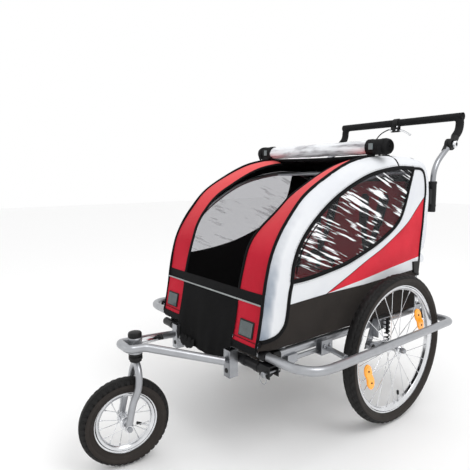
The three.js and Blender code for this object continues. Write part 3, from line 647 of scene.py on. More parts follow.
def steering():
    knurl = []
    for i in range(40):
        turn, radius = 2 * math.pi * i / 40, 19.6 if i % 2 else 18.4
        knurl.append((radius * math.cos(turn), radius * math.sin(turn)))
    cap = Piece(STEERING).prism(knurl, "Z", 370.5, 381)
    cap.turned([(381, 19), (384, 17.5), (385.6, 13), (386, 0)], (0, 0, 0), "Z", 48)
    cap.done("top_cap", "plastic", "front_fork", replaces="steering_cap", bevel=0.5)
    foot = FRONT_WHEEL_R
    blade = smooth([(-44, -36, foot - 8), (-43, -34, foot + 12), (-42, -22, foot + 65), (-41, -6, 233),
                    (-29, 0, 273),
                    (0, 0, 295), (29, 0, 273), (41, -6, 233), (42, -22, foot + 65), (43, -34, foot + 12),
                    (44, -36, foot - 8)], 10)
    Piece(STEERING).tube(blade, 10, 28).done("fork", "silver", "front_fork", replaces="front_fork", bevel=1)
    washer = Piece(STEERING).turned([(300, 9), (300, 17), (306, 17), (306, 19.5), (314, 19.5), (314, 16.5),
                                     (318, 16.5),
                                     (318, 19.5), (322.7, 19.5), (322.7, 9)], (0, 0, 0), "Z", 48)
    washer.done("fork_bearing", "plastic", "front_fork", bevel=0.4)
    axle = [(-59, 0), (-59, 8), (-54.5, 8), (-54.5, 5), (54.5, 5), (54.5, 8), (59, 8), (59, 0)]
    nuts = Piece(FRONT_WHEEL).turned(axle, segments=6)
    nuts.done("jogger_axle", "steel", "front_fork", replaces="front_axle", bevel=0.5)
    for x in (-53.5, 53.5):
        ring = Piece(FRONT_WHEEL).turned([(x - 0.8, 5), (x - 0.8, 10.5), (x + 0.8, 10.5), (x + 0.8, 5)],
                                         segments=32)
        ring.done(f"axle_washer_{'left' if x > 0 else 'right'}", "chrome", "front_fork", bevel=0.2)
    head = Piece(TRAILER @ Matrix.Translation((0, STEER_Y, 0)))
    head.turned([(323.2, 11.6), (323.2, 19), (325, 20.3), (330, 20.3), (331, 19.6), (362, 19.6), (363, 20.3),
                 (368.5, 20.3), (369.8, 19), (369.8, 11.6)], (0, 0, 0), "Z", 56)
    head.done("head_tube", "silver", replaces="steering_head", bevel=0.3)
    barrel = Piece(TRAILER).turned([(STEER_Y + 17, 9), (STEER_Y + 64, 9), (STEER_Y + 66, 7.5),
                                    (STEER_Y + 66, 4.7)],
                                   (0, 0, LOCK_Z), "Y", 40)
    barrel.done("lock_barrel", "chrome")
    knob = Piece(TRAILER).turned([(STEER_Y + 66.4, 4), (STEER_Y + 74, 4), (STEER_Y + 74, 8.2),
                                  (STEER_Y + 84, 8.2),
                                  (STEER_Y + 86, 6.5), (STEER_Y + 86, 0)], (0, 0, LOCK_Z), "Y", 32)
    knob.rod((-15, STEER_Y + 79, LOCK_Z), (15, STEER_Y + 79, LOCK_Z), 4, 20)
    knob.done("lock_knob", "plastic", "lock_plunger", replaces="lock_plunger", bevel=0.6)


# ---- Cabin cloth ----
FRONT_LINE = [(-537, 346), (-527, 388), (-517, 440), (-509, 494), (-498, 548), (-482, 602), (-455, 654),
              (-415, 706),
              (-355, 765), (-263, 817), (-170, 857), (-90, 876), (-36, 882)]
TOP_LINE = [(60, 884), (150, 883), (205, 873), (240, 846)]
BACK_LINE = [(258, 795), (264, 732), (258, 625), (248, 562), (220, 532)]

OUTLINE = [Vector(p) for p in FRONT_LINE + TOP_LINE + BACK_LINE]
EDGE = [Vector((p.x, p.y)) for p in smooth([(y, z, 0) for y, z in OUTLINE], 8)]
FRONT_ROUNDING, REAR_ROUNDING = 46, 16
SIDE_MIDDLE = (-110, 600)
LINING = -5  # how far a side's lining lies inside its outer cloth


def side_x(y, z):
    """How far out the side cloth stands: it rises from the seam and turns flat, sooner at the back."""
    low, span = 1e9, FRONT_ROUNDING
    for a, b in zip(EDGE, EDGE[1:]):
        d = b - a
        t = max(0, min(1, ((y - a.x) * d.x + (z - a.y) * d.y) / d.length_squared))
        away = math.hypot(y - a.x - d.x * t, z - a.y - d.y * t)
        if away < low:
            low = away
            middle = a + d * t
            rear = max(0, min(1, (middle.x - 60) / 160))
            span = FRONT_ROUNDING * (1 - rear) + REAR_ROUNDING * rear
    t = min(1, low / span)
    wave = 1.2 * math.sin(y / 37 + z / 61) * math.sin(z / 43 - y / 71)
    return CABIN_HALF + (SIDE_X - CABIN_HALF) * math.sqrt(max(0, 1 - (1 - t) ** 2)) + wave * t


def curve2(points, steps=8):
    return [(p.x, p.y) for p in smooth([(a, b, 0) for a, b in points], steps)]


CORNER = curve2([(-434, 531), (-441, 505), (-445, 480), (-450, 445), (-460, 412), (-484, 390), (-514, 378),
                 (-535, 370)])
WINDOW_TOP = curve2([(-436, 530), (-428, 577), (-402, 633), (-356, 686), (-281, 741), (-188, 790), (-78, 826),
                     (44, 844), (140, 844)])
WINDOW_LOW = curve2([(-436, 530), (-364, 533), (-275, 543), (-192, 558), (-112, 582), (-34, 610), (31, 640),
                     (69, 670),
                     (93, 710), (112, 755), (125, 798), (140, 844)])
REAR_SEAM = curve2([(140, 844), (190, 841), (213, 821), (225, 768), (222, 715), (211, 607), (203, 521),
                    (202, 508)])
RED_TOP = curve2([(-290, 474), (-232, 498), (-162, 525), (-87, 557), (-8, 588), (59, 620), (119, 657),
                  (163, 693),
                  (221, 742)])
RED_LOW = [(-290, 474), (-115, 492), (40, 512), (205, 531)]
STRIPE_LOW = [(-443, 467), (-290, 472), (-114, 475), (0, 479), (161, 486), (202, 490)]


def inside(point, polygon):
    y, z = point
    hit = False
    for (a, b), (c, d) in zip(polygon, polygon[1:] + polygon[:1]):
        if (b > z) != (d > z) and y < (c - a) * (z - b) / (d - b) + a:
            hit = not hit
    return hit


def area_of(polygon):
    return abs(sum(a * d - c * b for (a, b), (c, d) in zip(polygon, polygon[1:] + polygon[:1]))) / 2


def side_cloth(name, polygon, look, sign, lift=0.0, node=None, step=11, shrink=1.0):
    """A cut of cloth on the side of the cabin, filled with a fine net of points and lifted to its shape."""
    ys, zs = [p[0] for p in polygon], [p[1] for p in polygon]
    points = [Vector(p) for p in polygon]
    y = min(ys) + step / 2
    row = 0
    while y < max(ys):
        z = min(zs) + step / 2 + (step / 2 if row % 2 else 0)
        while z < max(zs):
            clear = all(abs(y - a) + abs(z - b) > step * 0.7 for a, b in polygon)
            if clear and inside((y, z), polygon):
                points.append(Vector((y, z)))
            z += step
        y += step * 0.87
        row += 1
    n = len(polygon)
    flat, _, faces, *_ = delaunay_2d_cdt(points, [(i, (i + 1) % n) for i in range(n)], [], 1, 1e-4)
    spots = []
    for p in flat:
        y, z = p.x + (SIDE_MIDDLE[0] - p.x) * (1 - shrink), p.y + (SIDE_MIDDLE[1] - p.y) * (1 - shrink)
        spots.append((side_x(p.x, p.y) + lift, y, z))
    piece = Piece(side_frame(sign)).add(spots, faces)
    obj = piece.done(name, look, replaces=node, crease=CLOTH_CREASE)
    width, length = (max(ys) - min(ys)) * MM, (max(zs) - min(zs)) * MM
    area = area_of(polygon) * MM * MM
    if area < 0.35 * width * length:  # a bent strip, so its size is taken along it
        length = sum(math.dist(p, q) for p, q in zip(polygon, polygon[1:])) / 2 * MM
        width = area / length
        area = None
    return obj


def piping(name, line, sign, radius, lift):
    """Binding sewn along a line on the side: wider along the cloth than it stands off it."""
    path = [(side_x(y, z) + lift, y, z) for y, z in line]
    Piece(side_frame(sign)).tube(path, radius, 14, 0.55, up=(1, 0, 0)).done(name, "binding")


def stitches(name, line, sign, pitch=9, lift=0.7):
    """A row of light thread stitches beside a seam."""
    piece = Piece(side_frame(sign))
    gone = 0
    for (a, b), (c, d) in zip(line, line[1:]):
        long = math.hypot(c - a, d - b)
        while gone < long:
            t, u = gone / long, min(1, (gone + pitch * 0.55) / long)
            ends = [(a + (c - a) * k, b + (d - b) * k) for k in (t, u)]
            piece.rod(*[(side_x(y, z) + lift, y, z) for y, z in ends], 0.45, 6)
            gone += pitch
        gone -= long
    piece.done(name, "reflect")


def offset(line, gap):
    out = []
    for i, (y, z) in enumerate(line):
        a, b = line[max(i - 1, 0)], line[min(i + 1, len(line) - 1)]
        d = Vector((b[0] - a[0], b[1] - a[1])).normalized()
        out.append((y - d.y * gap, z + d.x * gap))
    return out


def side_panels():
    edge = [(p.x, p.y) for p in EDGE]
    below = [(-537, 346), (184, 346)]
    above = [p for p in REAR_SEAM[1:] if p[1] > RED_TOP[-1][1] + 3]
    beside_red = [p for p in REAR_SEAM if RED_LOW[-1][1] + 3 < p[1] < RED_TOP[-1][1] - 3]
    border = edge[:-4] + [(246, 560), (236, 520),
                          (230, 508)] + REAR_SEAM[::-1] + WINDOW_TOP[::-1][1:] + CORNER[1:]
    upper = WINDOW_LOW + above + RED_TOP[::-1] + STRIPE_LOW[1::-1][1:] + CORNER[12:0:-4]
    red = RED_TOP + beside_red + RED_LOW[::-1][:-1]
    stripe = RED_LOW + [(202, 508)] + STRIPE_LOW[::-1][:-2]
    lower = STRIPE_LOW + [(196, 480), (184, 462)] + below[::-1] + CORNER[::-1][:-20:3]
    lined = WINDOW_LOW + REAR_SEAM[1:] + [(196, 480), (184, 462)] + below[::-1] + CORNER[:0:-3]
    window = WINDOW_TOP + WINDOW_LOW[::-1][1:-1]
    pipings = {
        "window_piping_top": (WINDOW_TOP, 6.6, 1),
        "window_piping_low": (WINDOW_LOW, 6.6, 1),
        "corner_piping": (CORNER + [(-537, 362)], 6.2, 1),
        "rear_piping": (REAR_SEAM, 4.6, 1),
        "red_piping": (RED_TOP, 1.1, 0.2),
        "edge_piping": (edge[:97], 6.4, 0.5),
        "roof_seam": ([(46, 884), (50, 872), (54, 858), (57, 845)], 3.2, 0.5),
        "window_piping_inner": (offset(WINDOW_TOP[:26], -15)[4:], 2.2, 1),
    }
    threads = {"border_stitches": offset(WINDOW_TOP, 10), "low_stitches": offset(WINDOW_LOW, -10),
               "rear_stitches": offset(REAR_SEAM, 8)}
    for side, sign in SIDES:
        side_cloth(f"side_border_{side}", border, "white", sign, node=f"side_panel_{side}")
        side_cloth(f"side_upper_{side}", upper, "white", sign)
        side_cloth(f"side_red_{side}", red, "flat_red", sign)
        side_cloth(f"side_stripe_{side}", stripe, "white", sign)
        side_cloth(f"side_lower_{side}", lower, "brown", sign)
        side_cloth(f"side_window_net_{side}", window, "net", sign, LINING)
        side_cloth(f"side_window_vinyl_{side}", window, f"vinyl_{side}", sign, 0.5)
        side_cloth(f"side_lining_border_{side}", border, "black", sign, LINING, step=16, shrink=0.985)
        side_cloth(f"side_lining_{side}", lined, "black", sign, LINING, step=16)
        for name, (line, radius, lift) in pipings.items():
            piping(f"{name}_{side}", line, sign, radius, lift)
        for name, line in threads.items():
            stitches(f"{name}_{side}", line, sign)


PROFILE = [Vector((p.x, p.y)) for p in smooth([(y, z, 0) for y, z in FRONT_LINE], 10)]


def profile_at(z):
    """The front outline's Y at a height, on the way up the front."""
    for a, b in zip(PROFILE, PROFILE[1:]):
        if a.y <= z <= b.y:
            return a.x + (b.x - a.x) * (z - a.y) / max(b.y - a.y, 1e-6)
    return PROFILE[0].x if z < PROFILE[0].y else PROFILE[-1].x


def front_cloth(z_low, z_high, inner, outer, lift=0.0, rows=60, columns=14, sag=0.0):
    """Cloth over the front, from one height to another, between two X that may change with height."""
    zs = [z_low + (z_high - z_low) * (1 - (1 - i / rows) ** 1.5) for i in range(rows + 1)]
    grid = []
    for z in zs:
        y = profile_at(z)
        slope = (profile_at(z + 4) - profile_at(z - 4)) / 8
        normal = Vector((-1, slope)).normalized()
        a, b = inner(z), outer(z)
        for k in range(columns + 1):
            t = k / columns
            x = a + (b - a) * t
            dip = sag * (1 - t) ** 2 * max(0, min(1, (z - 640) / 160))
            out = lift + 1.2 * math.sin(z / 29 + x / 41) - dip + 2.5 * math.sin(math.pi * t)
            grid.append((x, y + normal.x * out, z + normal.y * out))
    return grid, grid_faces(rows, columns)


def line_on_front(inner, z_low, z_high, lift, sag=0.0, count=60):
    points, _ = front_cloth(z_low, z_high, inner, lambda z: inner(z) + 1, lift, count, 1, sag)
    return points[::2]


BAND_Z = (497, 882)


def band_inner(z):
    t = max(0, min(1, (z - 600) / 150))
    return 147 + 33 * t * t * (3 - 2 * t)


def put_front(name, sign, z_low, z_high, inner, outer, look, node=None, **more):
    points, faces = front_cloth(z_low, z_high, inner, outer, **more)
    obj = Piece(side_frame(sign)).add(points, faces).done(name, look, replaces=node, crease=CLOTH_CREASE)
    width = (outer(z_low) - inner(z_low)) * MM


def front_panels():
    low, high = BAND_Z
    for side, sign in SIDES:
        node = f"front_band_{side}"
        put_front(f"band_{side}", sign, low, high, band_inner, lambda z: 250, "red", node, sag=16)
        put_front(f"band_lining_{side}", sign, low, high, band_inner, lambda z: 250, "black", lift=-4, sag=16)
        put_front(f"red_patch_{side}", sign, 350, 469, lambda z: 146, lambda z: 250, "red", lift=1.5, rows=20)
        inner = line_on_front(band_inner, low, high, 1, 16)
        Piece(side_frame(sign)).tube(inner, 4.2, 12).done(f"band_piping_{side}", "binding")
        hem = line_on_front(lambda z: 0, 365, 366, 3.5, count=1)[0]
        seam = [(x, hem[1], hem[2]) for x in (148, 199, 250)]
        Piece(side_frame(sign)).tube(seam, 0.9, 8).done(f"patch_seam_{side}", "binding")
        skirt = [(134, 354), (256, 354), (256, 335), (200, 331), (134, 336)]
        Piece(side_frame(sign)).prism(skirt, "Y", -541, -537).done(f"patch_skirt_{side}", "binding",
                                                                   bevel=1.5)
        reflector(side, sign)
    put_front("front_strip", 1, 468, 498, lambda z: -251, lambda z: 251, "binding", lift=2.5, rows=6,
              columns=40)
    Piece().tube([(x, profile_at(469) - 5, 469) for x in range(-250, 251, 10)], 2.4, 12).done("strip_piping",
                                                                                              "reflect")
    front_flap()
    strap_ends()


def front_flap():
    """Loose apron between the two red patches, gathered a little towards its lower hem."""
    flap = []
    rows, columns = 30, 36
    top, edge, hem = 468, 346, 277
    for r in range(rows + 1):
        z = top - (top - hem) * r / rows
        y = profile_at(max(z, edge)) - max(0, edge - z) * 0.13
        for k in range(columns + 1):
            x = -150 + 300 * k / columns
            squeeze = 1 - 0.14 * max(0, (edge - z) / 70)
            fold = 2.2 * math.sin(x / 23 + z / 80) * (r / rows) + 1.4 * math.sin(x / 9) * (r / rows) ** 2
            flap.append((x * squeeze, y - 4 + fold, z))
    front = Piece().add(flap, grid_faces(rows, columns)).done("front_flap", "black", replaces="front_panel")
    Piece().tube(flap[-columns - 1:], 2.2, 10).done("front_flap_hem", "binding")


def reflector(side, sign):
    """Grey safety reflector in a black frame on each red patch."""
    z, x = 396, 203
    y = profile_at(z)
    tilt = math.atan2(profile_at(z + 10) - profile_at(z - 10), 20)
    at = side_frame(sign) @ Matrix.Translation((x, y - 4, z)) @ Matrix.Rotation(-tilt, 4, "X")
    Piece(at).box(-31, 31, -3.5, 1, -24, 24).done(f"reflector_frame_{side}", "plastic", bevel=3)
    lens = Piece(at)
    for i in range(12):
        low = -27 + i * 4.5
        lens.prism([(low, -3), (low + 4.4, -3), (low + 2.2, -5.4)], "Z", -20, 20)
    lens.done(f"reflector_lens_{side}", "lens", crease=20)


def strap_ends():
    """Loose ends of the front cover's straps, gathered under the flap."""
    for k, (x, reach, droop) in enumerate(((-104, 26, 18), (-84, 34, 26), (-62, 24, 14))):
        line = smooth([(x, -551, 300), (x - 4, -556, 286), (x + reach * 0.4, -558, 283 - droop * 0.4),
                       (x + reach * 0.8, -555, 288 - droop * 0.2), (x + reach * 0.6, -551, 297)], 8)
        ribbon(f"strap_end_{k}", line, 16, 1.4, "webbing")


def ribbon(name, line, width, thick, look, body="chassis", side_way=None, node=None, placed=TRAILER):
    """A flat strap along a line, its width held along one direction."""
    line = [Vector(p) for p in line]
    points = []
    for i, here in enumerate(line):
        ahead = heading(line, i)
        across = Vector(side_way) if side_way else ahead.cross(Vector((0, -1, 0.2))).normalized()
        across = (across - ahead * across.dot(ahead)).normalized() * width / 2
        out = ahead.cross(across).normalized() * thick / 2
        points += [here - across - out, here + across - out, here + across + out, here - across + out]
    faces = ring_faces(len(line) - 1, 4) + [[0, 1, 2, 3], [len(points) - 4 + k for k in range(4)]]
    return Piece(placed).add(points, faces).done(name, look, body, replaces=node, bevel=thick * 0.3)


def cloth_across(name, line, look, node, sag, lift=0.0, to_sides=False):
    """Cloth stretched from side to side along a line of (Y, Z), as wide as the side panels if asked."""
    line = [Vector(p) for p in line]
    columns = 36
    grid = []
    for i, here in enumerate(line):
        ahead = heading(line, i)
        out = Vector((-ahead.y, ahead.x))
        half = max(CABIN_HALF, side_x(here.x, here.y)) if to_sides else CABIN_HALF
        for k in range(columns + 1):
            t = k / columns
            x = half * (2 * t - 1)
            dip = sag * math.sin(math.pi * t) + 1.5 * math.sin(x / 31 + i / 3)
            spot = here + out * (lift - dip)
            grid.append((x, spot.x, spot.y))
    piece = Piece().add(grid, grid_faces(len(line) - 1, columns))
    obj = piece.done(name, look, replaces=node, crease=CLOTH_CREASE)


def shell_panels():
    """Roof, back and floor cloth between the two side panels."""
    roof = curve2([(-33, 882)] + TOP_LINE, 10)
    back = curve2([(240, 846)] + BACK_LINE + [(200, 526), (187, 500)], 8) + [(184, z)
                                                                             for z in range(480, 345, -20)]
    floor = [(-500 + 26 * i, 347) for i in range(27)]
    cloth_across("roof", roof, "white", "roof_panel", 5)
    cloth_across("roof_lining", roof, "black", None, 5, -4)
    cloth_across("back", back, "black", "back_panel", 0, to_sides=True)
    cloth_across("floor", floor, "black", "floor_panel", 1)
    for name, y, z, radius in (("roof_seam", 50, 886, 3.2), ("roof_front_binding", -35, 882.5, 5.5)):
        line = [(x, y, z - 4 * math.cos(math.pi * x / 500)) for x in range(-250, 251, 25)]
        Piece().tube(line, radius, 12).done(name, "binding")
    for x in (-120, 120):
        ribbon(f"back_strap_{'left' if x > 0 else 'right'}", [(x, 268, 780), (x, 270, 700), (x, 262, 590)],
               25, 1.6,
               "webbing", side_way=(1, 0, 0))
    Piece().box(-150, 150, 262, 268, 600, 604).done("back_pocket_hem", "binding", bevel=1)


def cabin_frame():
    hoop = smooth([(266, -450, 342.4), (266, -458, 440), (266, -440, 536), (266, -415, 612), (266, -352, 690),
                   (266, -238, 762), (266, -130, 803), (266, 20, 828), (266, 140, 826), (266, 219, 804)], 12)
    foot, top = Vector((265, 205, 342.4)), Vector((265, 224, 812))
    for side, at in both_sides():
        poles = Piece(at).tube(hoop, 8, 20).rod(foot, top, 11, 28)
        poles.done(f"hoop_{side}", "silver", replaces=f"cabin_frame_{side}", bevel=0.8)
        low, high = foot.lerp(top, 0.255), foot.lerp(top, 0.35)
        collar = Piece(at).rod(low, high, 15.5, 32).rod(low - Vector((0, 0, 3)), low + Vector((0, 0, 6)), 17,
                                                        32)
        collar.done(f"post_collar_{side}", "plastic", bevel=0.8)
        cuff = Piece(at).prism([(160, 516), (203, 514), (197, 463), (166, 478)], "X", 280, 291)
        cuff.done(f"post_cuff_{side}", "plastic", bevel=2.5)
    Piece().rod((-258, 20, 828), (258, 20, 828), 8, 20).done("spreader", "silver", replaces="roof_spreader",
                                                             bevel=0.8)


ROLL_AT = (-33, 911)


def rolled_cover():
    y, z = ROLL_AT
    middle = Piece()
    columns, around = 90, 64
    points = []
    for c in range(columns + 1):
        x = -230 + 460 * c / columns
        for s in range(around):
            turn = 2 * math.pi * s / around
            layer = 1.3 if math.sin(turn * 2 + 0.9) > 0.75 else 0
            radius = 23.2 + layer + 0.8 * math.sin(x / 13 + 3 * turn) * math.sin(x / 29)
            points.append((x, y + radius * math.cos(turn), z + radius * math.sin(turn)))
    middle.add(points, ring_faces(columns, around)).done("cover_roll", "roll", replaces="rolled_cover",
                                                         crease=CLOTH_CREASE)
    for side, at in both_sides():
        end = Piece(at).turned([(227, 21), (229, 25), (234, 25.6), (300, 25), (305, 23.5), (309, 20)],
                               (0, y, z))
        end.done(f"roll_end_{side}", "roll_net")
        for k, radius in enumerate((20, 15.5, 11, 6.5)):
            rings = Piece(at).turned([(307 - k * 2, radius), (309.5 - k, radius - 1),
                                      (309.5 - k, radius - 2.6),
                                      (305 - k * 2, radius - 4)], (0, y, z), segments=48)
            rings.done(f"roll_layer_{k}_{side}", "binding")
        for x, width in ((238, 16), (288, 14)):
            strap = Piece(at).turned([(x - width / 2, 25.2), (x - width / 2, 26.4), (x + width / 2, 26.4),
                                      (x + width / 2, 25.2)], (0, y, z), segments=64)
            strap.done(f"roll_strap_{x}_{side}", "webbing", bevel=0.3)
        tail = smooth([(286, y - 27, z + 2), (287, y - 29, z - 8), (288, y - 27, z - 20),
                       (290, y - 22, z - 27)], 6)
        ribbon(f"roll_strap_tail_{side}", tail, 13, 1.2, "webbing", placed=at)
        buckle = Piece(at).box(246, 262, y - 28.5, y - 24.5, z - 9, z + 11)
        buckle.done(f"roll_buckle_{side}", "lens", bevel=1.2)


# ---- Seat ----
PUFF_FRAMES = 20


def puffed(node, name, pressure, cap, voxel=5.5):
    """The node's own shape as a sewn pad: remeshed, blown up a little by a cloth simulation, then kept."""
    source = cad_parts[node]
    obj = source.copy()
    obj.data = source.data.copy()
    obj.parent = None
    obj.name = name
    for key in list(obj.keys()):
        del obj[key]
    bpy.context.scene.collection.objects.link(obj)
    bpy.ops.object.select_all(action="DESELECT")
    bpy.context.view_layer.objects.active = obj
    obj.select_set(True)
    remesh = obj.modifiers.new("remesh", "REMESH")
    remesh.mode, remesh.voxel_size = "VOXEL", voxel * MM
    bpy.ops.object.modifier_apply(modifier="remesh")
    rest = np.array([v.co for v in obj.data.vertices])
    cloth = obj.modifiers.new("cloth", "CLOTH")
    cloth.settings.use_pressure = True
    cloth.settings.uniform_pressure_force = pressure
    cloth.settings.effector_weights.gravity = 0
    cloth.settings.quality = 6
    cloth.settings.tension_stiffness = cloth.settings.compression_stiffness = 12
    cloth.point_cache.frame_start, cloth.point_cache.frame_end = 1, PUFF_FRAMES
    scene = bpy.context.scene
    for number in range(1, PUFF_FRAMES + 1):
        scene.frame_set(number)
        bpy.context.view_layer.update()
    bpy.ops.object.modifier_apply(modifier="cloth")
    scene.frame_set(1)
    moved = np.array([v.co for v in obj.data.vertices]) - rest
    size = np.linalg.norm(moved, axis=1, keepdims=True)
    moved *= np.minimum(1, cap * MM / np.maximum(size, 1e-9))
    obj.data.vertices.foreach_set("co", (rest + moved).ravel())
    grow = obj.modifiers.new("smooth surface", "SUBSURF")
    grow.levels = grow.render_levels = 1
    bpy.ops.object.modifier_apply(modifier="smooth surface")
    obj.data.materials.clear()
    obj.data.materials.append(L["seat_red"].material)
    obj.data.polygons.foreach_set("use_smooth", [True] * len(obj.data.polygons))
    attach(obj, "chassis")
    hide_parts(node)
    return obj


BACKREST_FOOT = Vector((0, 118, 424))
BACKREST_UP = (Vector((0, 184, 806)) - BACKREST_FOOT).normalized()
BACKREST_OUT = Vector((1, 0, 0)).cross(BACKREST_UP)
CHILD_X = 115
WEBBING, ACROSS = 25, (1, 0, 0)


def on_back(x, along, lift=6.5):
    """A place on the backrest: across it, up along it, and off its face."""
    return BACKREST_FOOT + BACKREST_UP * along + Vector((x, 0, 0)) + BACKREST_OUT * lift


def seat():
    puffed("seat_cushion", "cushion", 4, 7)
    puffed("seat_back", "backrest", 4, 6)
    middle = CHILD_X
    for side, at in both_sides():
        for k, spread in enumerate((-1, 1)):
            line = smooth([on_back(middle + spread * 46, 330), on_back(middle + spread * 38, 250, 8.5),
                           on_back(middle + spread * 22, 175, 9.5), on_back(middle + spread * 9, 128, 9.5)],
                           6)
            node = f"harness_{side}" if k == 0 else None
            ribbon(f"shoulder_strap_{k}_{side}", line, WEBBING, 1.8, "webbing", side_way=ACROSS, node=node,
                   placed=at)
            pad = smooth([on_back(middle + spread * 45, 320, 9), on_back(middle + spread * 30, 215, 12)], 6)
            ribbon(f"shoulder_pad_{k}_{side}", pad, 40, 5, "black", side_way=ACROSS, placed=at)
        lap = smooth([on_back(middle - 80, 40), on_back(middle - 30, 75, 11), on_back(middle + 30, 75, 11),
                      on_back(middle + 80, 40)], 8)
        ribbon(f"lap_strap_{side}", lap, WEBBING, 1.8, "webbing", side_way=tuple(BACKREST_UP), placed=at)
        crotch = smooth([on_back(middle, 128, 9.5), on_back(middle, 60, 12), on_back(middle, 18, 8)], 6)
        ribbon(f"crotch_strap_{side}", crotch, WEBBING, 1.8, "webbing", side_way=ACROSS, placed=at)
        spot = on_back(middle, 122, 11)
        buckle = Piece(at).box(spot.x - 17, spot.x + 17, spot.y - 5, spot.y + 4, spot.z - 20, spot.z + 20)
        buckle.done(f"buckle_{side}", "plastic", bevel=3)


# ---- Push handle ----
def handle():
    y, z = HINGE
    for side, at in both_sides():
        sleeve = Piece(at).turned([(686, 0), (686, 12), (688, 14), (706, 14), (707, 14.8), (712, 14.8),
                                   (713, 14),
                                   (788, 14), (790, 15), (796, 15), (798, 13.8), (798, 10.8), (794, 10.8)],
                                  (HANDLE_X, 291, 0), "Z", 40)
        sleeve.done(f"sleeve_{side}", "plastic", replaces=f"handle_sleeve_{side}")
        lug = Piece(at).box(267, 283, 262, 279, 715, 770).box(262, 274, 228, 266, 724, 761)
        lug.done(f"sleeve_lug_{side}", "plastic", bevel=2)
        lower = smooth([(275, 291, 700), (275, 291, 750), (275, 291, 800), (275, 297, 835), (275, 316, 867),
                        (275, 345, 893), (275, 381, 919)], 10)
        Piece(at).tube(lower, 10, 28).done(f"lower_tube_{side}", "steel",
                                           replaces=f"handle_lower_tube_{side}", bevel=1)
        jaw = Piece(at).turned([(262, 6), (262, 19), (264, 22), (272, 22), (274.6, 20.5), (274.6, 6)],
                               (0, y, z))
        jaw.tube(smooth([(268, y - 4, z - 4), (270, 381, 919), (273, 366, 909)], 6), lambda t: 13 - 2 * t, 24)
        jaw.done(f"hinge_jaw_{side}", "plastic", bevel=1)
        cheek = Piece(at).turned([(275.4, 6), (275.4, 20.5), (278, 22), (285, 22), (287, 20), (287, 6)],
                                 (0, y, z))
        cheek.tube(smooth([(281, y + 4, z + 6), (280, 416, 949), (278, 430, 962)], 6), lambda t: 13 + 1.5 * t,
                   24)
        cheek.done(f"hinge_cheek_{side}", "plastic", "push_handle", bevel=1)
        button = Piece(at).turned([(262, 5), (292, 5), (292, 11), (293, 13), (299, 13), (301, 11), (301, 7),
                                   (299.6, 6.5),
                                   (299.6, 0)], (0, y, z))
        button.done(f"button_{side}", "chrome", f"hinge_button_{side}", replaces=f"hinge_button_{side}")
        centre = Piece(at).turned([(299.8, 0), (299.8, 6), (301, 5), (301, 0)], (0, y, z))
        centre.done(f"button_centre_{side}", "plastic", f"hinge_button_{side}")
    ends = [(HANDLE_X, 412, 948), (HANDLE_X, 465, 990), (HANDLE_X, GRIP_Y, GRIP_Z)]
    path = bent(ends + [(-a, b, c) for a, b, c in reversed(ends)], 55, 14)
    Piece().tube(path, 9, 20).done("handle_core", "black_paint", "push_handle", replaces="handle_bar",
                                   bevel=0.6)
    grip = [(HANDLE_X, 429, 961.5), *ends[1:]]
    grip_path = bent(grip + [(-a, b, c) for a, b, c in reversed(grip)], 55, 14)
    foam = Piece().tube(smooth(grip_path, 3), lambda t: 15 - 2.2 * math.exp(-(min(t, 1 - t) * 260) ** 2), 28)
    foam = foam.done("grip", "foam", "push_handle", replaces="foam_grip")


UPPER_CABLE = [(-24.4, 468, 1018), (-44, 465, 1016), (-68, 446, 996), (-76, 408, 952), (-54, 352, 908),
               (-12, 300, 884), (24, 276, 862), (38, 271, 836), (40, 270, 800)]
LOWER_CABLE = [(40, 270, 799.6), (40, 271, 700), (40, 271, 560), (44, 266, 430), (62, 260, 352),
               (110, 256, 320),
               (180, 254, 312), (230, 252, 316), (257, 252, 322)]
CABLE_R = 2.5


def brake():
    clamp = Piece().turned([(-12, 15.4), (-12, 17.5), (-11, 18.5), (11, 18.5), (12, 17.5), (12, 15.4)],
                           (0, GRIP_Y, GRIP_Z), segments=48)
    clamp.done("clamp_ring", "plastic", "push_handle", replaces="brake_clamp")
    body = Piece().box(-24, 14, 459, 463.2, 1005, 1031).box(-24, 14, 472.8, 477, 1005, 1031)
    body.box(-24, -4, 463.2, 472.8, 1005, 1031).box(-4, 14, 463.2, 472.8, 1024, 1031)
    body.done("clamp_body", "plastic", "push_handle", bevel=1.6)
    for x, z in ((-18, 1011), (6, 1013), (9, 1027)):
        screw = Piece().turned([(455.5, 0), (455.5, 2.6), (456.5, 3.8), (459.2, 3.8)], (x, 0, z), "Y", 24)
        screw.done(f"clamp_screw_{x + 30}_{z}", "chrome", "push_handle")
    lever = smooth([(6, 0, 1013), (18, 0, 1011.5), (38, 0, 1005), (54, 0, 996), (64, 0, 989), (69, 0, 992)],
                   8)
    blade = Piece(TRAILER @ Matrix.Translation((0, GRIP_Y, 0)))
    blade.tube(lever, lambda t: 4.6 - 1.6 * t, 16, 0.62, up=(0, 1, 0))
    blade.turned([(-3, 2.6), (-3, 5.5), (3, 5.5), (3, 2.6)], (6, 0, 1013), "Y", 32)
    blade.done("lever", "chrome", "brake_lever", replaces="brake_lever")
    barrel = Piece().rod((-24.4, GRIP_Y, 1018), (-33, GRIP_Y - 1.5, 1017.3), 4, 20)
    barrel.done("cable_barrel", "chrome", "push_handle", bevel=0.6)
    lower = Piece().tube(smooth(LOWER_CABLE, 10), CABLE_R, 14)
    lower.done("cable_lower", "jacket", replaces="brake_cable_lower")
    upper = Piece().tube(smooth(UPPER_CABLE, 12), CABLE_R, 14)
    obj = upper.done("cable_upper", "jacket", replaces="brake_cable_upper")
    obj.parent = None
    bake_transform(obj)
    stop = Piece().rod((250, 252, 320), (262, 252, 323), 4.5, 20)
    stop.done("cable_stop", "steel", bevel=0.6)


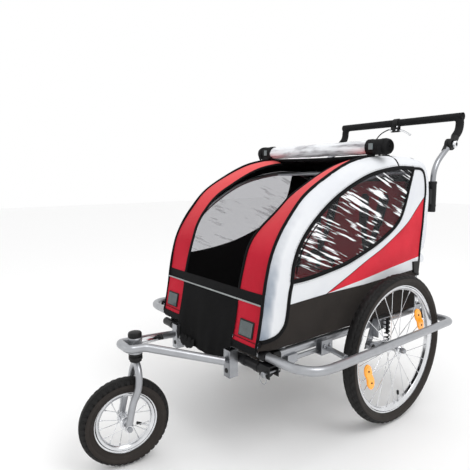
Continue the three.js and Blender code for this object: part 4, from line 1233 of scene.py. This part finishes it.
# ---- Camera, light and floor ----
def pale_floor():
    far = 12.0
    mesh = bpy.data.meshes.new("floor")
    mesh.from_pydata([(-far, -far, 0), (far, -far, 0), (far, far, 0), (-far, far, 0)], [], [(0, 1, 2, 3)])
    pale = bpy.data.materials.new("pale floor")
    pale.use_nodes = True
    pale.node_tree.nodes["Principled BSDF"].inputs["Base Color"].default_value = (0.95, 0.95, 0.95, 1)
    pale.node_tree.nodes["Principled BSDF"].inputs["Roughness"].default_value = 0.9
    mesh.materials.append(pale)
    in_scene("floor", mesh)


def lamp(name, place, aim, size, power):
    data = bpy.data.lights.new(name, "AREA")
    data.size, data.energy = size, power
    obj = in_scene(name, data)
    obj.location = place
    obj.rotation_mode = "QUATERNION"
    obj.rotation_quaternion = (Vector(aim) - Vector(place)).to_track_quat("-Z", "Y")


CAMERA_PLACE = (1.1631, -1.08195, 0.8199)  # metres
CAMERA_BACK, CAMERA_UP = Vector((0.7795, -0.6134, 0.1271)), Vector((-0.0999, 0.0786, 0.9919))
CAMERA_ROLL = math.radians(-0.2)
CAMERA_LENS, CAMERA_SENSOR, CAMERA_SHIFT = 34.99, 36, (-0.012, -0.001)


def camera():
    back = CAMERA_BACK.normalized()
    right = CAMERA_UP.cross(back).normalized()
    axes = Matrix((right, back.cross(right), back)).transposed().to_4x4()
    data = bpy.data.cameras.new("camera")
    data.lens, data.sensor_width = CAMERA_LENS, CAMERA_SENSOR
    data.shift_x, data.shift_y = CAMERA_SHIFT
    data.clip_start = 0.05
    obj = in_scene("camera", data)
    obj.matrix_world = Matrix.Translation(CAMERA_PLACE) @ (axes @ Matrix.Rotation(CAMERA_ROLL, 4, "Z"))
    bpy.context.scene.camera = obj


def studio():
    """A pale floor under an even white sky, with one soft lamp above and a weaker one in front."""
    pale_floor()
    world = bpy.data.worlds.new("studio")
    world.use_nodes = True
    world.node_tree.nodes["Background"].inputs[0].default_value = (1, 1, 1, 1)
    world.node_tree.nodes["Background"].inputs[1].default_value = 1.0
    bpy.context.scene.world = world
    lamp("key", (1.9, 0.1, 3.0), (0, 0, 0.5), 1.4, 30)
    lamp("front fill", (-1.6, -3.2, 1.6), (0, -0.2, 0.5), 2.2, 5)
    camera()
    bpy.context.scene.view_settings.view_transform = "Standard"


ground_frame()
suspension()
wheels()
steering()
cabin_frame()
side_panels()
front_panels()
shell_panels()
rolled_cover()
seat()
handle()
brake()
studio()
